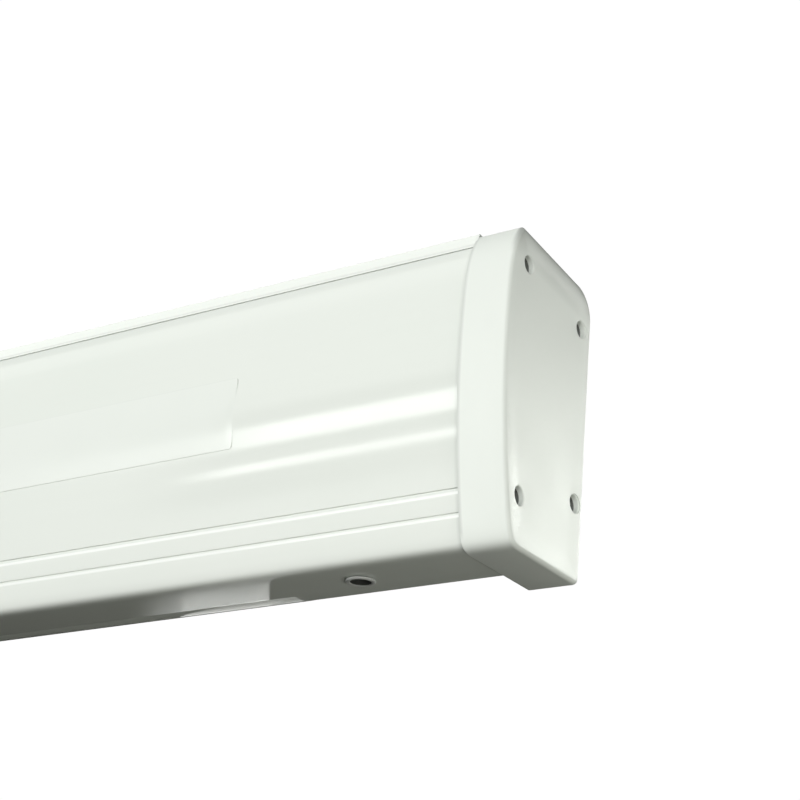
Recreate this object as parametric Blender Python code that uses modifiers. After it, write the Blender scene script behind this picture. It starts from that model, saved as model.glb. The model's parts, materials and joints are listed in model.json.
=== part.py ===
"""Motorised roll-down projection screen: extruded case, end caps, tubular motor, roller, fabric and weight bar.

Metres, +Z up. X runs along the case, -Y is the side that faces the room, +Y is the wall.
The origin is on the flat back of the case, at the middle of its length and of the caps' height.
Sections are drawn in millimetres as (y, z), with y = 0 at the back of the caps and z = 0 at their underside.
Stations along the case are given as s, the distance in millimetres from an end cap's outer face.
"""

import math

import bmesh
import bpy
from mathutils import Matrix, Vector

MM = 0.001

# ---- driving dimensions, in millimetres -------------------------------------------------
CASE_LENGTH = 1786.0  # over the outer faces of the two caps
HALF = CASE_LENGTH / 2

CAP_HEIGHT = 100.0
CAP_DEPTH = 52.1
CAP_WIDTH = 16.0  # how far a cap reaches along the case
CAP_PLATE = 2.5
CAP_RIM = 0.9
CAP_EDGE = 1.3  # rounding of the outer face's edge
PEAK_Z = 70.0  # height of the front's foremost line
TOP_SET_BACK = 6.0
LOW_SET_BACK = 7.6
CORNER_Z = 10.0  # where the front runs into the bottom corner
CORNER_END_Y = -34.5
BOTTOM_RISE = 2.6  # the underside climbs by this much from the corner to the back
BACK_LOW_RADIUS = 2.0
BACK_TOP_RADIUS = 9.5

SKIN = 1.2  # the profiles lie this far inside the caps' outline
WALL = 1.5
LIP_WALL = 1.8
SEAM_Z = 96.4
SEAM_GAP = 0.9
UPSTAND_TOP = 102.2  # a low rib along the front edge of the top, which locates the wall brackets
UPSTAND_BACK_Y = -43.0
GROOVES = ((17.4, 1.0, 1.0), (10.9, 0.7, 0.7))  # height, half width, depth
LIP_END_Y = -13.5
SLOT_FRONT_Y = -19.5
SLOT_END_S = 88.0
BACK_WALL_END_Z = 10.0

PORT_OUT, PORT_IN = 3.2, 1.6
PORT_UPPER_FRONT = (-41.2, 89.5)
PORT_UPPER_BACK = (-6.2, 85.5)
PORT_LOWER_FRONT = (-38.0, 15.5)
PORT_LOWER_BACK = (-4.6, 27.0)
BOSS_RADIUS = 4.0
BOSS_END_S = 7.0
RECESS_RADIUS = 2.95
RECESS_DEPTH = 4.6
SCREW_HEAD_RADIUS = 2.6

T_SLOT_Y = -26.5
T_SLOT_MOUTH = 7.0
T_SLOT_WIDTH = 13.0
T_SLOT_TOP, T_SLOT_FLOOR = 96.5, 91.5

AXIS_Y, AXIS_Z = -26.5, 64.0  # the roller's axis
TUBE_RADIUS, TUBE_WALL = 16.0, 1.3
TUBE_START_S, TUBE_END_S = 79.0, 72.0
ROLL_RADIUS = 19.4
FABRIC_WIDTH = 1600.0
FABRIC_THICKNESS = 0.32

ADJUSTER_S = 59.0
ACCESS_RADIUS = 4.0

BAR_Y, BAR_BOTTOM_Z = -10.8, 4.7
BAR_HALF_DEPTH = 6.0
BAR_HEIGHT = 19.2

BRACKET_X = 560.0  # the wall brackets' stations either side of the middle
BRACKET_WIDTH = 44.0
BRACKET_SHEET = 2.5
BRACKET_RISE = 44.0

ORIGIN_Y, ORIGIN_Z = -SKIN, CAP_HEIGHT / 2

# ---- scene ------------------------------------------------------------------------------
for old in list(bpy.data.objects):
    bpy.data.objects.remove(old, do_unlink=True)

scene = bpy.context.scene
parts = bpy.data.collections.new("motorized_projector_screen")
scene.collection.children.link(parts)
cutters = bpy.data.collections.new("cutters")
scene.collection.children.link(cutters)
cutters.hide_render = True

_materials = {}


def material(name, colour, roughness, metallic=0.0):
    if name not in _materials:
        made = bpy.data.materials.new(name)
        made.use_nodes = True
        shader = made.node_tree.nodes["Principled BSDF"]
        shader.inputs["Base Color"].default_value = (*colour, 1.0)
        shader.inputs["Roughness"].default_value = roughness
        shader.inputs["Metallic"].default_value = metallic
        made.diffuse_color = (*colour, 1.0)
        _materials[name] = made
    return _materials[name]


CASE_WHITE = ("case_white", (0.80, 0.82, 0.79), 0.28)
CAP_WHITE = ("cap_white", (0.79, 0.81, 0.78), 0.38)
ZINC = ("zinc_plated_steel", (0.62, 0.63, 0.64), 0.36, 1.0)
BRIGHT = ("bright_steel", (0.70, 0.70, 0.70), 0.25, 1.0)
ALU = ("mill_aluminium", (0.72, 0.73, 0.74), 0.34, 1.0)
BLACK = ("black_plastic", (0.03, 0.03, 0.032), 0.5)
GREY = ("grey_plastic", (0.32, 0.33, 0.34), 0.5)
TERMINAL_GREY = ("terminal_grey", (0.45, 0.47, 0.46), 0.5)
YELLOW = ("adjuster_yellow", (0.82, 0.66, 0.08), 0.45)
MOTOR = ("motor_black_steel", (0.06, 0.06, 0.065), 0.42, 0.6)
SCREEN = ("screen_white", (0.86, 0.86, 0.85), 0.85)
LABEL = ("blank_label", (0.84, 0.86, 0.84), 0.32)


# ---- outlines ---------------------------------------------------------------------------
def arc(cy, cz, r, a0, a1, n):
    """Points of an arc, angles in degrees from +y towards +z."""
    return [
        (
            cy + r * math.cos(math.radians(a0 + (a1 - a0) * i / n)),
            cz + r * math.sin(math.radians(a0 + (a1 - a0) * i / n)),
        )
        for i in range(n + 1)
    ]


def front_y(z):
    """The caps' front surface, foremost at PEAK_Z."""
    if z >= PEAK_Z:
        return -CAP_DEPTH + TOP_SET_BACK * ((z - PEAK_Z) / (CAP_HEIGHT - PEAK_Z)) ** 3.5
    return -CAP_DEPTH + LOW_SET_BACK * ((PEAK_Z - z) / (PEAK_Z - CORNER_Z)) ** 2


def front_line(count=16):
    """The front from its top edge down to where the bottom corner starts."""
    return [
        (front_y(z), z)
        for z in (CAP_HEIGHT - (CAP_HEIGHT - CORNER_Z) * i / count for i in range(count + 1))
    ]


UNDER_SLOPE = BOTTOM_RISE / -CORNER_END_Y


def under_z(y, d=0.0):
    """Height of the underside d inside the caps' outline."""
    return UNDER_SLOPE * (y - CORNER_END_Y) + d * math.hypot(1, UNDER_SLOPE)


def bottom_corner(count=7):
    """From the front's lower end round to the flat underside."""
    y0 = front_y(CORNER_Z)
    slope = (front_y(CORNER_Z + 0.01) - y0) / 0.01
    meet_y = (y0 - slope * (UNDER_SLOPE * CORNER_END_Y + CORNER_Z)) / (1 - slope * UNDER_SLOPE)
    p0, p1, p2 = (y0, CORNER_Z), (meet_y, under_z(meet_y)), (CORNER_END_Y, 0.0)
    made = []
    for i in range(1, count + 1):
        t = i / count
        made.append(
            tuple(
                (1 - t) ** 2 * a + 2 * t * (1 - t) * b + t * t * c
                for a, b, c in zip(p0, p1, p2)
            )
        )
    return made


def cap_outline():
    """Closed outline of an end cap, anticlockwise seen from +X with +y to the right."""
    outline = front_line() + bottom_corner()
    r = BACK_LOW_RADIUS
    tilt = math.degrees(math.atan(UNDER_SLOPE))
    outline += arc(-r, under_z(-r, r), r, tilt - 90, 0, 4)
    r = BACK_TOP_RADIUS
    outline += arc(-r, CAP_HEIGHT - r, r, 0, 90, 9)
    return outline


def inset(outline, d):
    """The outline moved inwards by d."""
    n, made = len(outline), []
    for i in range(n):
        (ay, az), (by, bz), (cy, cz) = outline[i - 1], outline[i], outline[(i + 1) % n]
        u = Vector((by - ay, bz - az)).normalized()
        v = Vector((cy - by, cz - bz)).normalized()
        nu, nv = Vector((-u.y, u.x)), Vector((-v.y, v.x))
        mid = (nu + nv).normalized()
        made.append((by + mid.x * d / mid.dot(nu), bz + mid.y * d / mid.dot(nu)))
    return made


FRONT_COUNT = len(front_line())
CORNER_COUNT = len(bottom_corner())


def front_part(d, high, low):
    """The front surface d inside the caps' outline, from height high down to low."""
    line = inset(cap_outline(), d)[:FRONT_COUNT]

    def at(z):
        for (ya, za), (yb, zb) in zip(line, line[1:]):
            if za >= z >= zb:
                return (ya + (yb - ya) * (z - za) / (zb - za), z)
        return line[-1] if z < line[-1][1] else line[0]

    return [at(high)] + [p for p in line if low + 0.05 < p[1] < high - 0.05] + [at(low)]


def corner_part(d):
    """The bottom corner d inside the caps' outline, down to the underside."""
    return inset(cap_outline(), d)[FRONT_COUNT : FRONT_COUNT + CORNER_COUNT]


def port(centre, neck, to_wall, neck_half=1.0, mouth=34.0, n=7):
    """An open screw port on a wall's inner side. neck is the angle from its centre to the wall."""
    cy, cz = centre
    a = math.radians(neck)
    along, across = Vector((math.cos(a), math.sin(a))), Vector((-math.sin(a), math.cos(a)))
    if to_wall < PORT_OUT:
        beta, first, last = math.degrees(math.acos(to_wall / PORT_OUT)), [], []
    else:
        beta = math.degrees(math.asin(neck_half / PORT_OUT))
        first = [tuple(Vector(centre) + along * to_wall + across * neck_half)]
        last = [tuple(Vector(centre) + along * to_wall - across * neck_half)]
    path = first + arc(cy, cz, PORT_OUT, neck + beta, neck + 180 - mouth, n)
    path += arc(cy, cz, PORT_IN, neck + 180 - mouth, neck - 180 + mouth, 12)
    return path + arc(cy, cz, PORT_OUT, neck + 180 + mouth, neck + 360 - beta, n) + last


def top_and_back_outline():
    """Top wall with its T-slot, rounded back edge and back wall, with three screw ports."""
    top, inner_top = CAP_HEIGHT - SKIN, CAP_HEIGHT - SKIN - WALL
    back, inner_back = -SKIN, -SKIN - WALL
    r = BACK_TOP_RADIUS
    half_mouth, half_slot = T_SLOT_MOUTH / 2, T_SLOT_WIDTH / 2
    path = [(back, BACK_WALL_END_Z)]
    path += arc(-r, CAP_HEIGHT - r, r - SKIN, 0, 90, 8)
    path += [(T_SLOT_Y + half_mouth, top), (T_SLOT_Y + half_mouth, T_SLOT_TOP)]
    path += [(T_SLOT_Y + half_slot, T_SLOT_TOP), (T_SLOT_Y + half_slot, T_SLOT_FLOOR)]
    path += [(T_SLOT_Y - half_slot, T_SLOT_FLOOR), (T_SLOT_Y - half_slot, T_SLOT_TOP)]
    path += [(T_SLOT_Y - half_mouth, T_SLOT_TOP), (T_SLOT_Y - half_mouth, top)]
    seam = SEAM_Z + SEAM_GAP / 2
    face = front_part(SKIN, top, seam)
    tip_y = face[0][0] + 0.2 * (UPSTAND_TOP - top)
    path += [(UPSTAND_BACK_Y, top), (UPSTAND_BACK_Y, UPSTAND_TOP - 0.4), (UPSTAND_BACK_Y - 0.4, UPSTAND_TOP)]
    path += [(tip_y + 0.2, UPSTAND_TOP)] + face
    path += [(face[-1][0] + WALL + 0.3, seam), (face[-1][0] + WALL + 0.9, inner_top)]
    path += port(PORT_UPPER_FRONT, 90, inner_top + 0.05 - PORT_UPPER_FRONT[1])
    path += [(T_SLOT_Y - half_slot - WALL, inner_top), (T_SLOT_Y - half_slot - WALL, T_SLOT_FLOOR - WALL)]
    path += [(T_SLOT_Y + half_slot + WALL, T_SLOT_FLOOR - WALL), (T_SLOT_Y + half_slot + WALL, inner_top)]
    path += arc(-r, CAP_HEIGHT - r, r - SKIN - WALL, 90, 0, 8)
    path += port(PORT_UPPER_BACK, 0, inner_back - PORT_UPPER_BACK[0])
    path += port(PORT_LOWER_BACK, 0, inner_back - PORT_LOWER_BACK[0])
    return path + [(inner_back, BACK_WALL_END_Z)]


def front_cover_outline():
    """Bowed front with its two grooves, bottom corner and underside lip, with one screw port and a tongue behind the seam."""
    seam = SEAM_Z - SEAM_GAP / 2
    path, high = [], seam
    for z, half, depth in GROOVES:
        path += front_part(SKIN, high, z + half)
        y = front_part(SKIN, z, CORNER_Z - 3)[0][0]
        path += [(y + depth, z)]
        high = z - half
    path += [front_part(SKIN, high, CORNER_Z - 3)[0]]
    path += corner_part(SKIN)
    path += [(LIP_END_Y - 0.5, under_z(LIP_END_Y - 0.5, SKIN)), (LIP_END_Y, under_z(LIP_END_Y, SKIN) + 0.5)]
    path += [(LIP_END_Y, under_z(LIP_END_Y, SKIN + LIP_WALL))]
    path += list(reversed(corner_part(SKIN + LIP_WALL)))
    low = CORNER_Z + 2.0
    y, z = PORT_LOWER_FRONT
    path += list(reversed(front_part(SKIN + WALL, z - 1.0, low)))
    path += port(PORT_LOWER_FRONT, 180, y - front_part(SKIN + WALL, z, low)[0][0])[1:-1]
    path += list(reversed(front_part(SKIN + WALL, SEAM_Z - 4.0, z + 1.0)))
    path += list(reversed(front_part(SKIN + WALL + 1.5, seam, SEAM_Z - 4.0)))
    return path


def bar_outline():
    """Weight bar: round bottom, tapered shoulders and a slot at the top for the fabric."""
    y, r = BAR_Y, BAR_HALF_DEPTH
    top, wall = BAR_BOTTOM_Z + BAR_HEIGHT, 1.3
    path = [(y + 1.2, top), (y + 1.2, top - wall)]
    path += [(y + r - wall - 1.6, top - wall - 0.9), (y + r - wall, top - wall - 4.4)]
    path += arc(y, BAR_BOTTOM_Z + r, r - wall, 0, -180, 12)
    path += [(y - r + wall, top - wall - 4.4), (y - r + wall + 1.6, top - wall - 0.9)]
    path += [(y - 1.2, top - wall), (y - 1.2, top)]
    path += [(y - r + 1.9, top - 0.9), (y - r, top - 4.8)]
    path += arc(y, BAR_BOTTOM_Z + r, r, -180, 0, 16)
    return path + [(y + r, top - 4.8), (y + r - 1.9, top - 0.9)]


# ---- shapes -----------------------------------------------------------------------------
ALONG_X = Matrix(((0, 0, 1, 0), (1, 0, 0, 0), (0, 1, 0, 0), (0, 0, 0, 1)))
AXES = {
    "X": ALONG_X,
    "Z": Matrix.Identity(4),
    "Y": Matrix(((0, 1, 0, 0), (0, 0, 1, 0), (1, 0, 0, 0), (0, 0, 0, 1))),
}


def taken(obj):
    """The evaluated mesh of a helper object, welded, in its parent's space. The helper goes."""
    bpy.context.view_layer.update()
    graph = bpy.context.evaluated_depsgraph_get()
    mesh = bpy.data.meshes.new_from_object(obj.evaluated_get(graph))
    mesh.transform(obj.matrix_world)
    bpy.data.objects.remove(obj, do_unlink=True)
    shape = bmesh.new()
    shape.from_mesh(mesh)
    bmesh.ops.remove_doubles(shape, verts=shape.verts, dist=2e-6)
    bmesh.ops.recalc_face_normals(shape, faces=shape.faces)
    shape.to_mesh(mesh)
    shape.free()
    return mesh


def prism(loops, h0, h1, axis="X"):
    """A flat outline with holes, in millimetres, drawn out along an axis from h0 to h1."""
    curve = bpy.data.curves.new("outline", "CURVE")
    curve.dimensions, curve.fill_mode = "2D", "BOTH"
    curve.extrude = abs(h1 - h0) / 2 * MM
    for loop in loops:
        spline = curve.splines.new("POLY")
        spline.points.add(len(loop) - 1)
        for p, (a, b) in zip(spline.points, loop):
            p.co = (a * MM, b * MM, 0, 1)
        spline.use_cyclic_u = True
    obj = bpy.data.objects.new("outline", curve)
    cutters.objects.link(obj)
    obj.matrix_world = AXES[axis] @ Matrix.Translation((0, 0, (h0 + h1) / 2 * MM))
    return taken(obj)


def turned(profile, steps=28, axis="X", centre=(0.0, 0.0, 0.0)):
    """A turned shape from (radius, height) points in millimetres, from the axis at its top to the axis at its bottom, or a closed ring."""
    ring = profile[0][0] > 1e-6
    mesh = bpy.data.meshes.new("profile")
    points = [(r * MM, 0.0, h * MM) for r, h in profile]
    edges = [(i, i + 1) for i in range(len(points) - 1)]
    if ring:
        edges.append((len(points) - 1, 0))
    mesh.from_pydata(points, edges, [])
    obj = bpy.data.objects.new("profile", mesh)
    cutters.objects.link(obj)
    screw = obj.modifiers.new("turn", "SCREW")
    screw.axis, screw.angle = "Z", math.tau
    screw.steps = screw.render_steps = steps
    screw.use_merge_vertices, screw.merge_threshold = True, 1e-6
    screw.use_smooth_shade = True
    obj.matrix_world = Matrix.Translation(Vector(centre) * MM) @ AXES[axis]
    return taken(obj)


def rod(r, h0, h1, axis="X", centre=(0.0, 0.0, 0.0), chamfer=0.0, steps=28):
    """A plain round bar, with its end edges broken if chamfer is given."""
    c = chamfer
    if c:
        return turned([(0, h1), (r - c, h1), (r, h1 - c), (r, h0 + c), (r - c, h0), (0, h0)], steps, axis, centre)
    return turned([(0, h1), (r, h1), (r, h0), (0, h0)], steps, axis, centre)


def tube(r, bore, h0, h1, axis="X", centre=(0.0, 0.0, 0.0), steps=28):
    return turned([(bore, h1), (r, h1), (r, h0), (bore, h0)], steps, axis, centre)


def block(x0, x1, y0, y1, z0, z1, bevel=0.0):
    """A box between two corners, in millimetres, with rounded edges if bevel is given."""
    shape = bmesh.new()
    bmesh.ops.create_cube(shape, size=1.0)
    size = Vector((abs(x1 - x0), y1 - y0, z1 - z0)) * MM
    middle = Vector((x0 + x1, y0 + y1, z0 + z1)) * MM / 2
    bmesh.ops.transform(shape, matrix=Matrix.Translation(middle) @ Matrix.Diagonal((*size, 1)), verts=shape.verts)
    if bevel:
        bmesh.ops.bevel(shape, geom=shape.edges[:], offset=bevel * MM, segments=2, profile=0.5, affect="EDGES")
    mesh = bpy.data.meshes.new("block")
    shape.to_mesh(mesh)
    shape.free()
    return mesh


def joined(mesh, operation, *others):
    """mesh after a Boolean with each of the others in turn."""
    body = bpy.data.objects.new("body", mesh)
    cutters.objects.link(body)
    helpers = []
    for i, other in enumerate(others):
        helper = bpy.data.objects.new(f"cutter_{len(cutters.objects)}", other)
        helper.display_type = "WIRE"
        helper.hide_render = True
        cutters.objects.link(helper)
        helpers.append(helper)
        cut = body.modifiers.new(f"{operation.lower()}_{i}", "BOOLEAN")
        cut.operation, cut.solver, cut.object = operation, "EXACT", helper
    made = taken(body)
    for helper in helpers:
        bpy.data.objects.remove(helper, do_unlink=True)
    return made


def cut(mesh, *others):
    return joined(mesh, "DIFFERENCE", *others)


def fused(mesh, *others):
    return joined(mesh, "UNION", *others)


def rounded_rect(a0, a1, b0, b1, r, n=4):
    return (
        arc(a1 - r, b0 + r, r, -90, 0, n)
        + arc(a1 - r, b1 - r, r, 0, 90, n)
        + arc(a0 + r, b1 - r, r, 90, 180, n)
        + arc(a0 + r, b0 + r, r, 180, 270, n)
    )


def moved(mesh, dx=0.0, dy=0.0, dz=0.0):
    made = mesh.copy()
    made.transform(Matrix.Translation(Vector((dx, dy, dz)) * MM))
    return made


def mirrored(mesh):
    """The same shape at the other end of the case."""
    made = mesh.copy()
    made.transform(Matrix.Diagonal((-1, 1, 1, 1)))
    made.flip_normals()
    return made


def node(name, mesh, finish, pivot=(0.0, 0.0, 0.0), smooth=35.0):
    """Makes a named piece from a mesh in section coordinates. pivot is where its own origin goes, in the same coordinates."""
    to_frame = Vector((0, -ORIGIN_Y, -ORIGIN_Z)) * MM
    at = Vector(pivot) * MM
    mesh.transform(Matrix.Translation(-at))
    mesh.name = name
    mesh.materials.clear()
    mesh.materials.append(material(*finish))
    obj = bpy.data.objects.new(name, mesh)
    parts.objects.link(obj)
    obj.location = at + to_frame
    mesh.shade_smooth()
    mesh.set_sharp_from_angle(angle=math.radians(smooth))
    return obj


def station(s):
    """X of a station s from the right-hand cap's outer face."""
    return HALF - s


AXIS = (0.0, AXIS_Y, AXIS_Z)

# ---- case profiles ----------------------------------------------------------------------
PROFILE_START = BOSS_END_S + 0.3
profile_end = HALF - PROFILE_START

BRACKET_PLATE_S = (38.0, 40.5)
FOOT_Z = (50.0, 76.0)  # heights of the two screws that hold a bearing bracket to the back wall

top_back = prism([top_and_back_outline()], -profile_end, profile_end)
back_holes = [
    turned([(0, 1.0), (5.2, 1.0), (1.8, -2.4), (1.8, -8.0), (0, -8.0)], 16, "Y", (side * (HALF - 52.0), 0, z))
    for side in (1, -1)
    for z in FOOT_Z
]
trims = [
    block(side * (HALF - CAP_WIDTH - 0.3), side * (HALF + 5), -50, UPSTAND_BACK_Y + 1.0, CAP_HEIGHT - SKIN + 0.05, 104)
    for side in (1, -1)
]
node("top_and_back_profile", cut(top_back, *back_holes, *trims), CASE_WHITE)

front = prism([front_cover_outline()], -profile_end, profile_end)
slot_half = HALF - SLOT_END_S
notch = block(-slot_half, slot_half, SLOT_FRONT_Y, LIP_END_Y + 6, -3, 8)
HOLE_AT = Vector((station(ADJUSTER_S), AXIS_Y, under_z(AXIS_Y, SKIN))) * MM
UNDER_TILT = Matrix.Rotation(math.atan(UNDER_SLOPE), 4, "X")


def on_underside(mesh):
    """Moves a shape drawn about the origin, with the case above it, to the hole in the underside."""
    mesh.transform(Matrix.Translation(HOLE_AT) @ UNDER_TILT)
    return mesh


access = on_underside(rod(ACCESS_RADIUS, -4, 6, "Z", steps=26))
node("front_cover_profile", cut(front, notch, access), CASE_WHITE)
grommet = turned(
    [
        (3.2, LIP_WALL + 1.1),
        (4.3, LIP_WALL + 0.9),
        (4.3, LIP_WALL + 0.3),
        (ACCESS_RADIUS - 0.3, LIP_WALL + 0.3),
        (ACCESS_RADIUS - 0.3, -0.3),
        (4.6, -0.3),
        (4.6, -0.6),
        (4.3, -0.95),
        (3.5, -1.0),
        (3.2, -0.7),
    ],
    22,
    "Z",
)
node("access_hole_grommet", on_underside(grommet), GREY, tuple(HOLE_AT / MM))

# ---- end caps ---------------------------------------------------------------------------
PORTS = {
    "upper_front": PORT_UPPER_FRONT,
    "upper_back": PORT_UPPER_BACK,
    "lower_front": PORT_LOWER_FRONT,
    "lower_back": PORT_LOWER_BACK,
}


def cap_mesh():
    """The right-hand cap, with s running towards -X from its outer face."""
    outer = prism([cap_outline()], HALF - CAP_WIDTH, HALF)
    shape = bmesh.new()
    shape.from_mesh(outer)
    rim = [e for e in shape.edges if all(abs(v.co.x - HALF * MM) < 1e-6 for v in e.verts) and len(e.link_faces) == 2 and abs(e.link_faces[0].normal.dot(e.link_faces[1].normal)) < 0.5]
    bmesh.ops.bevel(shape, geom=rim, offset=CAP_EDGE * MM, segments=2, profile=0.5, affect="EDGES")
    shape.to_mesh(outer)
    shape.free()
    hollow = prism([inset(cap_outline(), CAP_RIM)], HALF - CAP_WIDTH - 3, HALF - CAP_PLATE)
    shell = cut(outer, hollow)
    within = prism([inset(cap_outline(), 0.4)], HALF - CAP_WIDTH, HALF)
    bosses = [
        joined(rod(BOSS_RADIUS, HALF - BOSS_END_S, HALF - 1.8, "X", (0, y, z), steps=20), "INTERSECT", within.copy())
        for y, z in PORTS.values()
    ]
    shell = fused(shell, *bosses)
    recesses = [
        turned(
            [(0, HALF + 3), (RECESS_RADIUS, HALF + 3), (RECESS_RADIUS, HALF - RECESS_DEPTH), (1.8, HALF - RECESS_DEPTH), (1.8, HALF - 12), (0, HALF - 12)],
            18,
            "X",
            (0, y, z),
        )
        for y, z in PORTS.values()
    ]
    return cut(shell, *recesses)


GLAND_Y, GLAND_Z = -26.0, 34.0
right_cap = cap_mesh()
left_cap = cut(mirrored(right_cap), rod(6.4, -HALF - 5, -HALF + 12, "X", (0, GLAND_Y, GLAND_Z)))
node("end_cap_right", right_cap, CAP_WHITE)
node("end_cap_left", left_cap, CAP_WHITE)


def cap_screw_mesh():
    """A pan-head screw with a cross recess, lying along X with its head towards +X."""
    seat = HALF - RECESS_DEPTH + 0.3
    head = turned(
        [(0, seat + 2.1), (1.5, seat + 2.0), (2.4, seat + 1.5), (SCREW_HEAD_RADIUS, seat + 0.7), (SCREW_HEAD_RADIUS, seat), (1.35, seat), (1.35, seat - 15.0), (0, seat - 16.6)],
        14,
    )
    arms = [
        block(seat + 0.9, seat + 4, -1.7, 1.7, -0.36, 0.36),
        block(seat + 0.9, seat + 4, -0.36, 0.36, -1.7, 1.7),
    ]
    return cut(head, *arms)


screw = cap_screw_mesh()
for side, shape_at in (("right", screw), ("left", mirrored(screw))):
    for where, (y, z) in PORTS.items():
        node(f"cap_screw_{side}_{where}", moved(shape_at, 0, y, z), BRIGHT, (0, y, z))

# ---- cable gland in the left cap ---------------------------------------------------------
gland = (0, GLAND_Y, GLAND_Z)
hexagon = [(9.0 * math.cos(math.radians(30 + 60 * i)) + GLAND_Y, 9.0 * math.sin(math.radians(30 + 60 * i)) + GLAND_Z) for i in range(6)]
flange = prism([hexagon], -HALF - 4.3, -HALF - 0.3)
spigot = rod(6.0, -HALF - 10.5, -HALF + 9.0, "X", gland, 0.4, 20)
gland_bore = rod(3.4, -HALF - 20, -HALF + 20, "X", gland, steps=18)
node("cable_gland_body", cut(fused(flange, spigot), gland_bore), GREY, gland)
node(
    "cable_gland_dome_nut",
    turned([(6.4, -HALF - 4.6), (8.3, -HALF - 4.6), (8.3, -HALF - 10.5), (7.6, -HALF - 13.4), (5.4, -HALF - 15.6), (3.8, -HALF - 16.0), (3.8, -HALF - 11.0), (6.4, -HALF - 11.0)], 22, "X", gland),
    GREY,
    gland,
)
lock_hexagon = [((y - GLAND_Y) * 1.0 + GLAND_Y, (z - GLAND_Z) * 1.0 + GLAND_Z) for y, z in hexagon]
node("cable_gland_lock_nut", cut(prism([lock_hexagon], -HALF + 2.8, -HALF + 6.8), rod(6.3, -HALF - 5, -HALF + 15, "X", gland, steps=20)), GREY, gland)


# ---- bearing brackets -------------------------------------------------------------------
def bearing_bracket(hole):
    """A pressed steel plate across the case with a foot on the back wall, and its hole for the roller end."""
    back = -SKIN - WALL - 0.3
    s0, s1 = BRACKET_PLATE_S
    plate = prism([rounded_rect(-45.0, back, 40.0, 82.0, 3.0)], HALF - s1, HALF - s0)
    foot = block(HALF - 64.0, HALF - s0 - 1.0, back - 2.5, back, 42.0, 80.0)
    holes = [rod(1.45, -12, 2, "Y", (HALF - 52.0, 0, z), steps=16) for z in FOOT_Z]
    return cut(fused(plate, foot), hole, *holes)


square = 5.3
motor_bracket = bearing_bracket(block(HALF - 60, HALF - 30, AXIS_Y - square, AXIS_Y + square, AXIS_Z - square, AXIS_Z + square))
node("motor_bracket", motor_bracket, ZINC)
idler_bracket = mirrored(bearing_bracket(rod(7.3, HALF - 60, HALF - 30, "X", AXIS)))
node("idler_bracket", idler_bracket, ZINC)

foot_screw = turned([(0, -0.15), (2.43, -0.15), (1.15, -1.43), (1.15, -5.6), (0, -6.4)], 14, "Y")
for side, sign in (("right", 1), ("left", -1)):
    for label, z in zip(("lower", "upper"), FOOT_Z):
        at = (sign * (HALF - 52.0), -SKIN, z)
        node(f"bracket_screw_{side}_{label}", moved(foot_screw, *at), BRIGHT, at)

# ---- motor ------------------------------------------------------------------------------
HEAD_S = (43.0, 75.0)
head = turned(
    [
        (0, station(HEAD_S[0])),
        (15.0, station(HEAD_S[0])),
        (16.6, station(HEAD_S[0] + 1.6)),
        (16.6, station(50.0)),
        (15.4, station(51.0)),
        (15.4, station(67.0)),
        (16.4, station(68.0)),
        (16.4, station(HEAD_S[1])),
        (0, station(HEAD_S[1])),
    ],
    28,
    "X",
    AXIS,
)
ADJUSTER_PITCH = 11.0
stud = block(station(44.0), station(31.0), AXIS_Y - 5.0, AXIS_Y + 5.0, AXIS_Z - 5.0, AXIS_Z + 5.0)
stud_grooves = [
    block(station(35.6), station(34.2), AXIS_Y - 8, AXIS_Y + 8, AXIS_Z + 4.2, AXIS_Z + 8),
    block(station(35.6), station(34.2), AXIS_Y - 8, AXIS_Y + 8, AXIS_Z - 8, AXIS_Z - 4.2),
]
low_y, high_y = AXIS_Y, AXIS_Y + ADJUSTER_PITCH
low_z, high_z = AXIS_Z - 16.6, AXIS_Z - 13.0
turret_low = rod(5.2, low_z, AXIS_Z - 8, "Z", (station(ADJUSTER_S), low_y, 0), steps=18)
turret_high = rod(4.2, high_z, AXIS_Z - 4, "Z", (station(ADJUSTER_S), high_y, 0), steps=18)
wells = [
    rod(3.3, low_z - 4, low_z + 6.0, "Z", (station(ADJUSTER_S), low_y, 0), steps=16),
    rod(2.9, high_z - 4, high_z + 6.0, "Z", (station(ADJUSTER_S), high_y, 0), steps=16),
]
node("motor_head", cut(fused(cut(fused(head, stud), *stud_grooves), turret_low, turret_high), *wells), BLACK)
node("motor_body", turned([(0, station(75.3)), (12.0, station(75.3)), (12.7, station(76.0)), (12.7, station(402.0)), (12.0, station(402.7)), (0, station(402.7))], 32, "X", AXIS), MOTOR)

clip = prism([rounded_rect(AXIS_Y - 8.5, AXIS_Y + 8.5, AXIS_Z - 7.6, AXIS_Z + 7.6, 2.0)], station(35.4), station(34.5))
clip_gap = block(station(40), station(30), AXIS_Y - 5.3, AXIS_Y + 12, AXIS_Z - 4.5, AXIS_Z + 4.5)
node("motor_retaining_clip", cut(clip, clip_gap), BRIGHT)


def adjuster(bottom):
    """A hex-socket adjusting screw pointing down, with a slotted face."""
    body = turned([(0, bottom + 5.6), (2.2, bottom + 5.6), (2.5, bottom + 5.3), (2.5, bottom + 0.9), (2.1, bottom + 0.5), (0, bottom + 0.5)], 20, "Z")
    socket = prism([[(1.35 * math.cos(math.radians(60 * i)), 1.35 * math.sin(math.radians(60 * i))) for i in range(6)]], bottom - 2, bottom + 3.0, "Z")
    return cut(body, socket)


low_at = (station(ADJUSTER_S), low_y, 0.0)
high_at = (station(ADJUSTER_S), high_y, 0.0)
node("lower_limit_adjuster", moved(adjuster(low_z), *low_at), YELLOW, (low_at[0], low_at[1], low_z))
node("upper_limit_adjuster", moved(adjuster(high_z), *high_at), YELLOW, (high_at[0], high_at[1], high_z))

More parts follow.
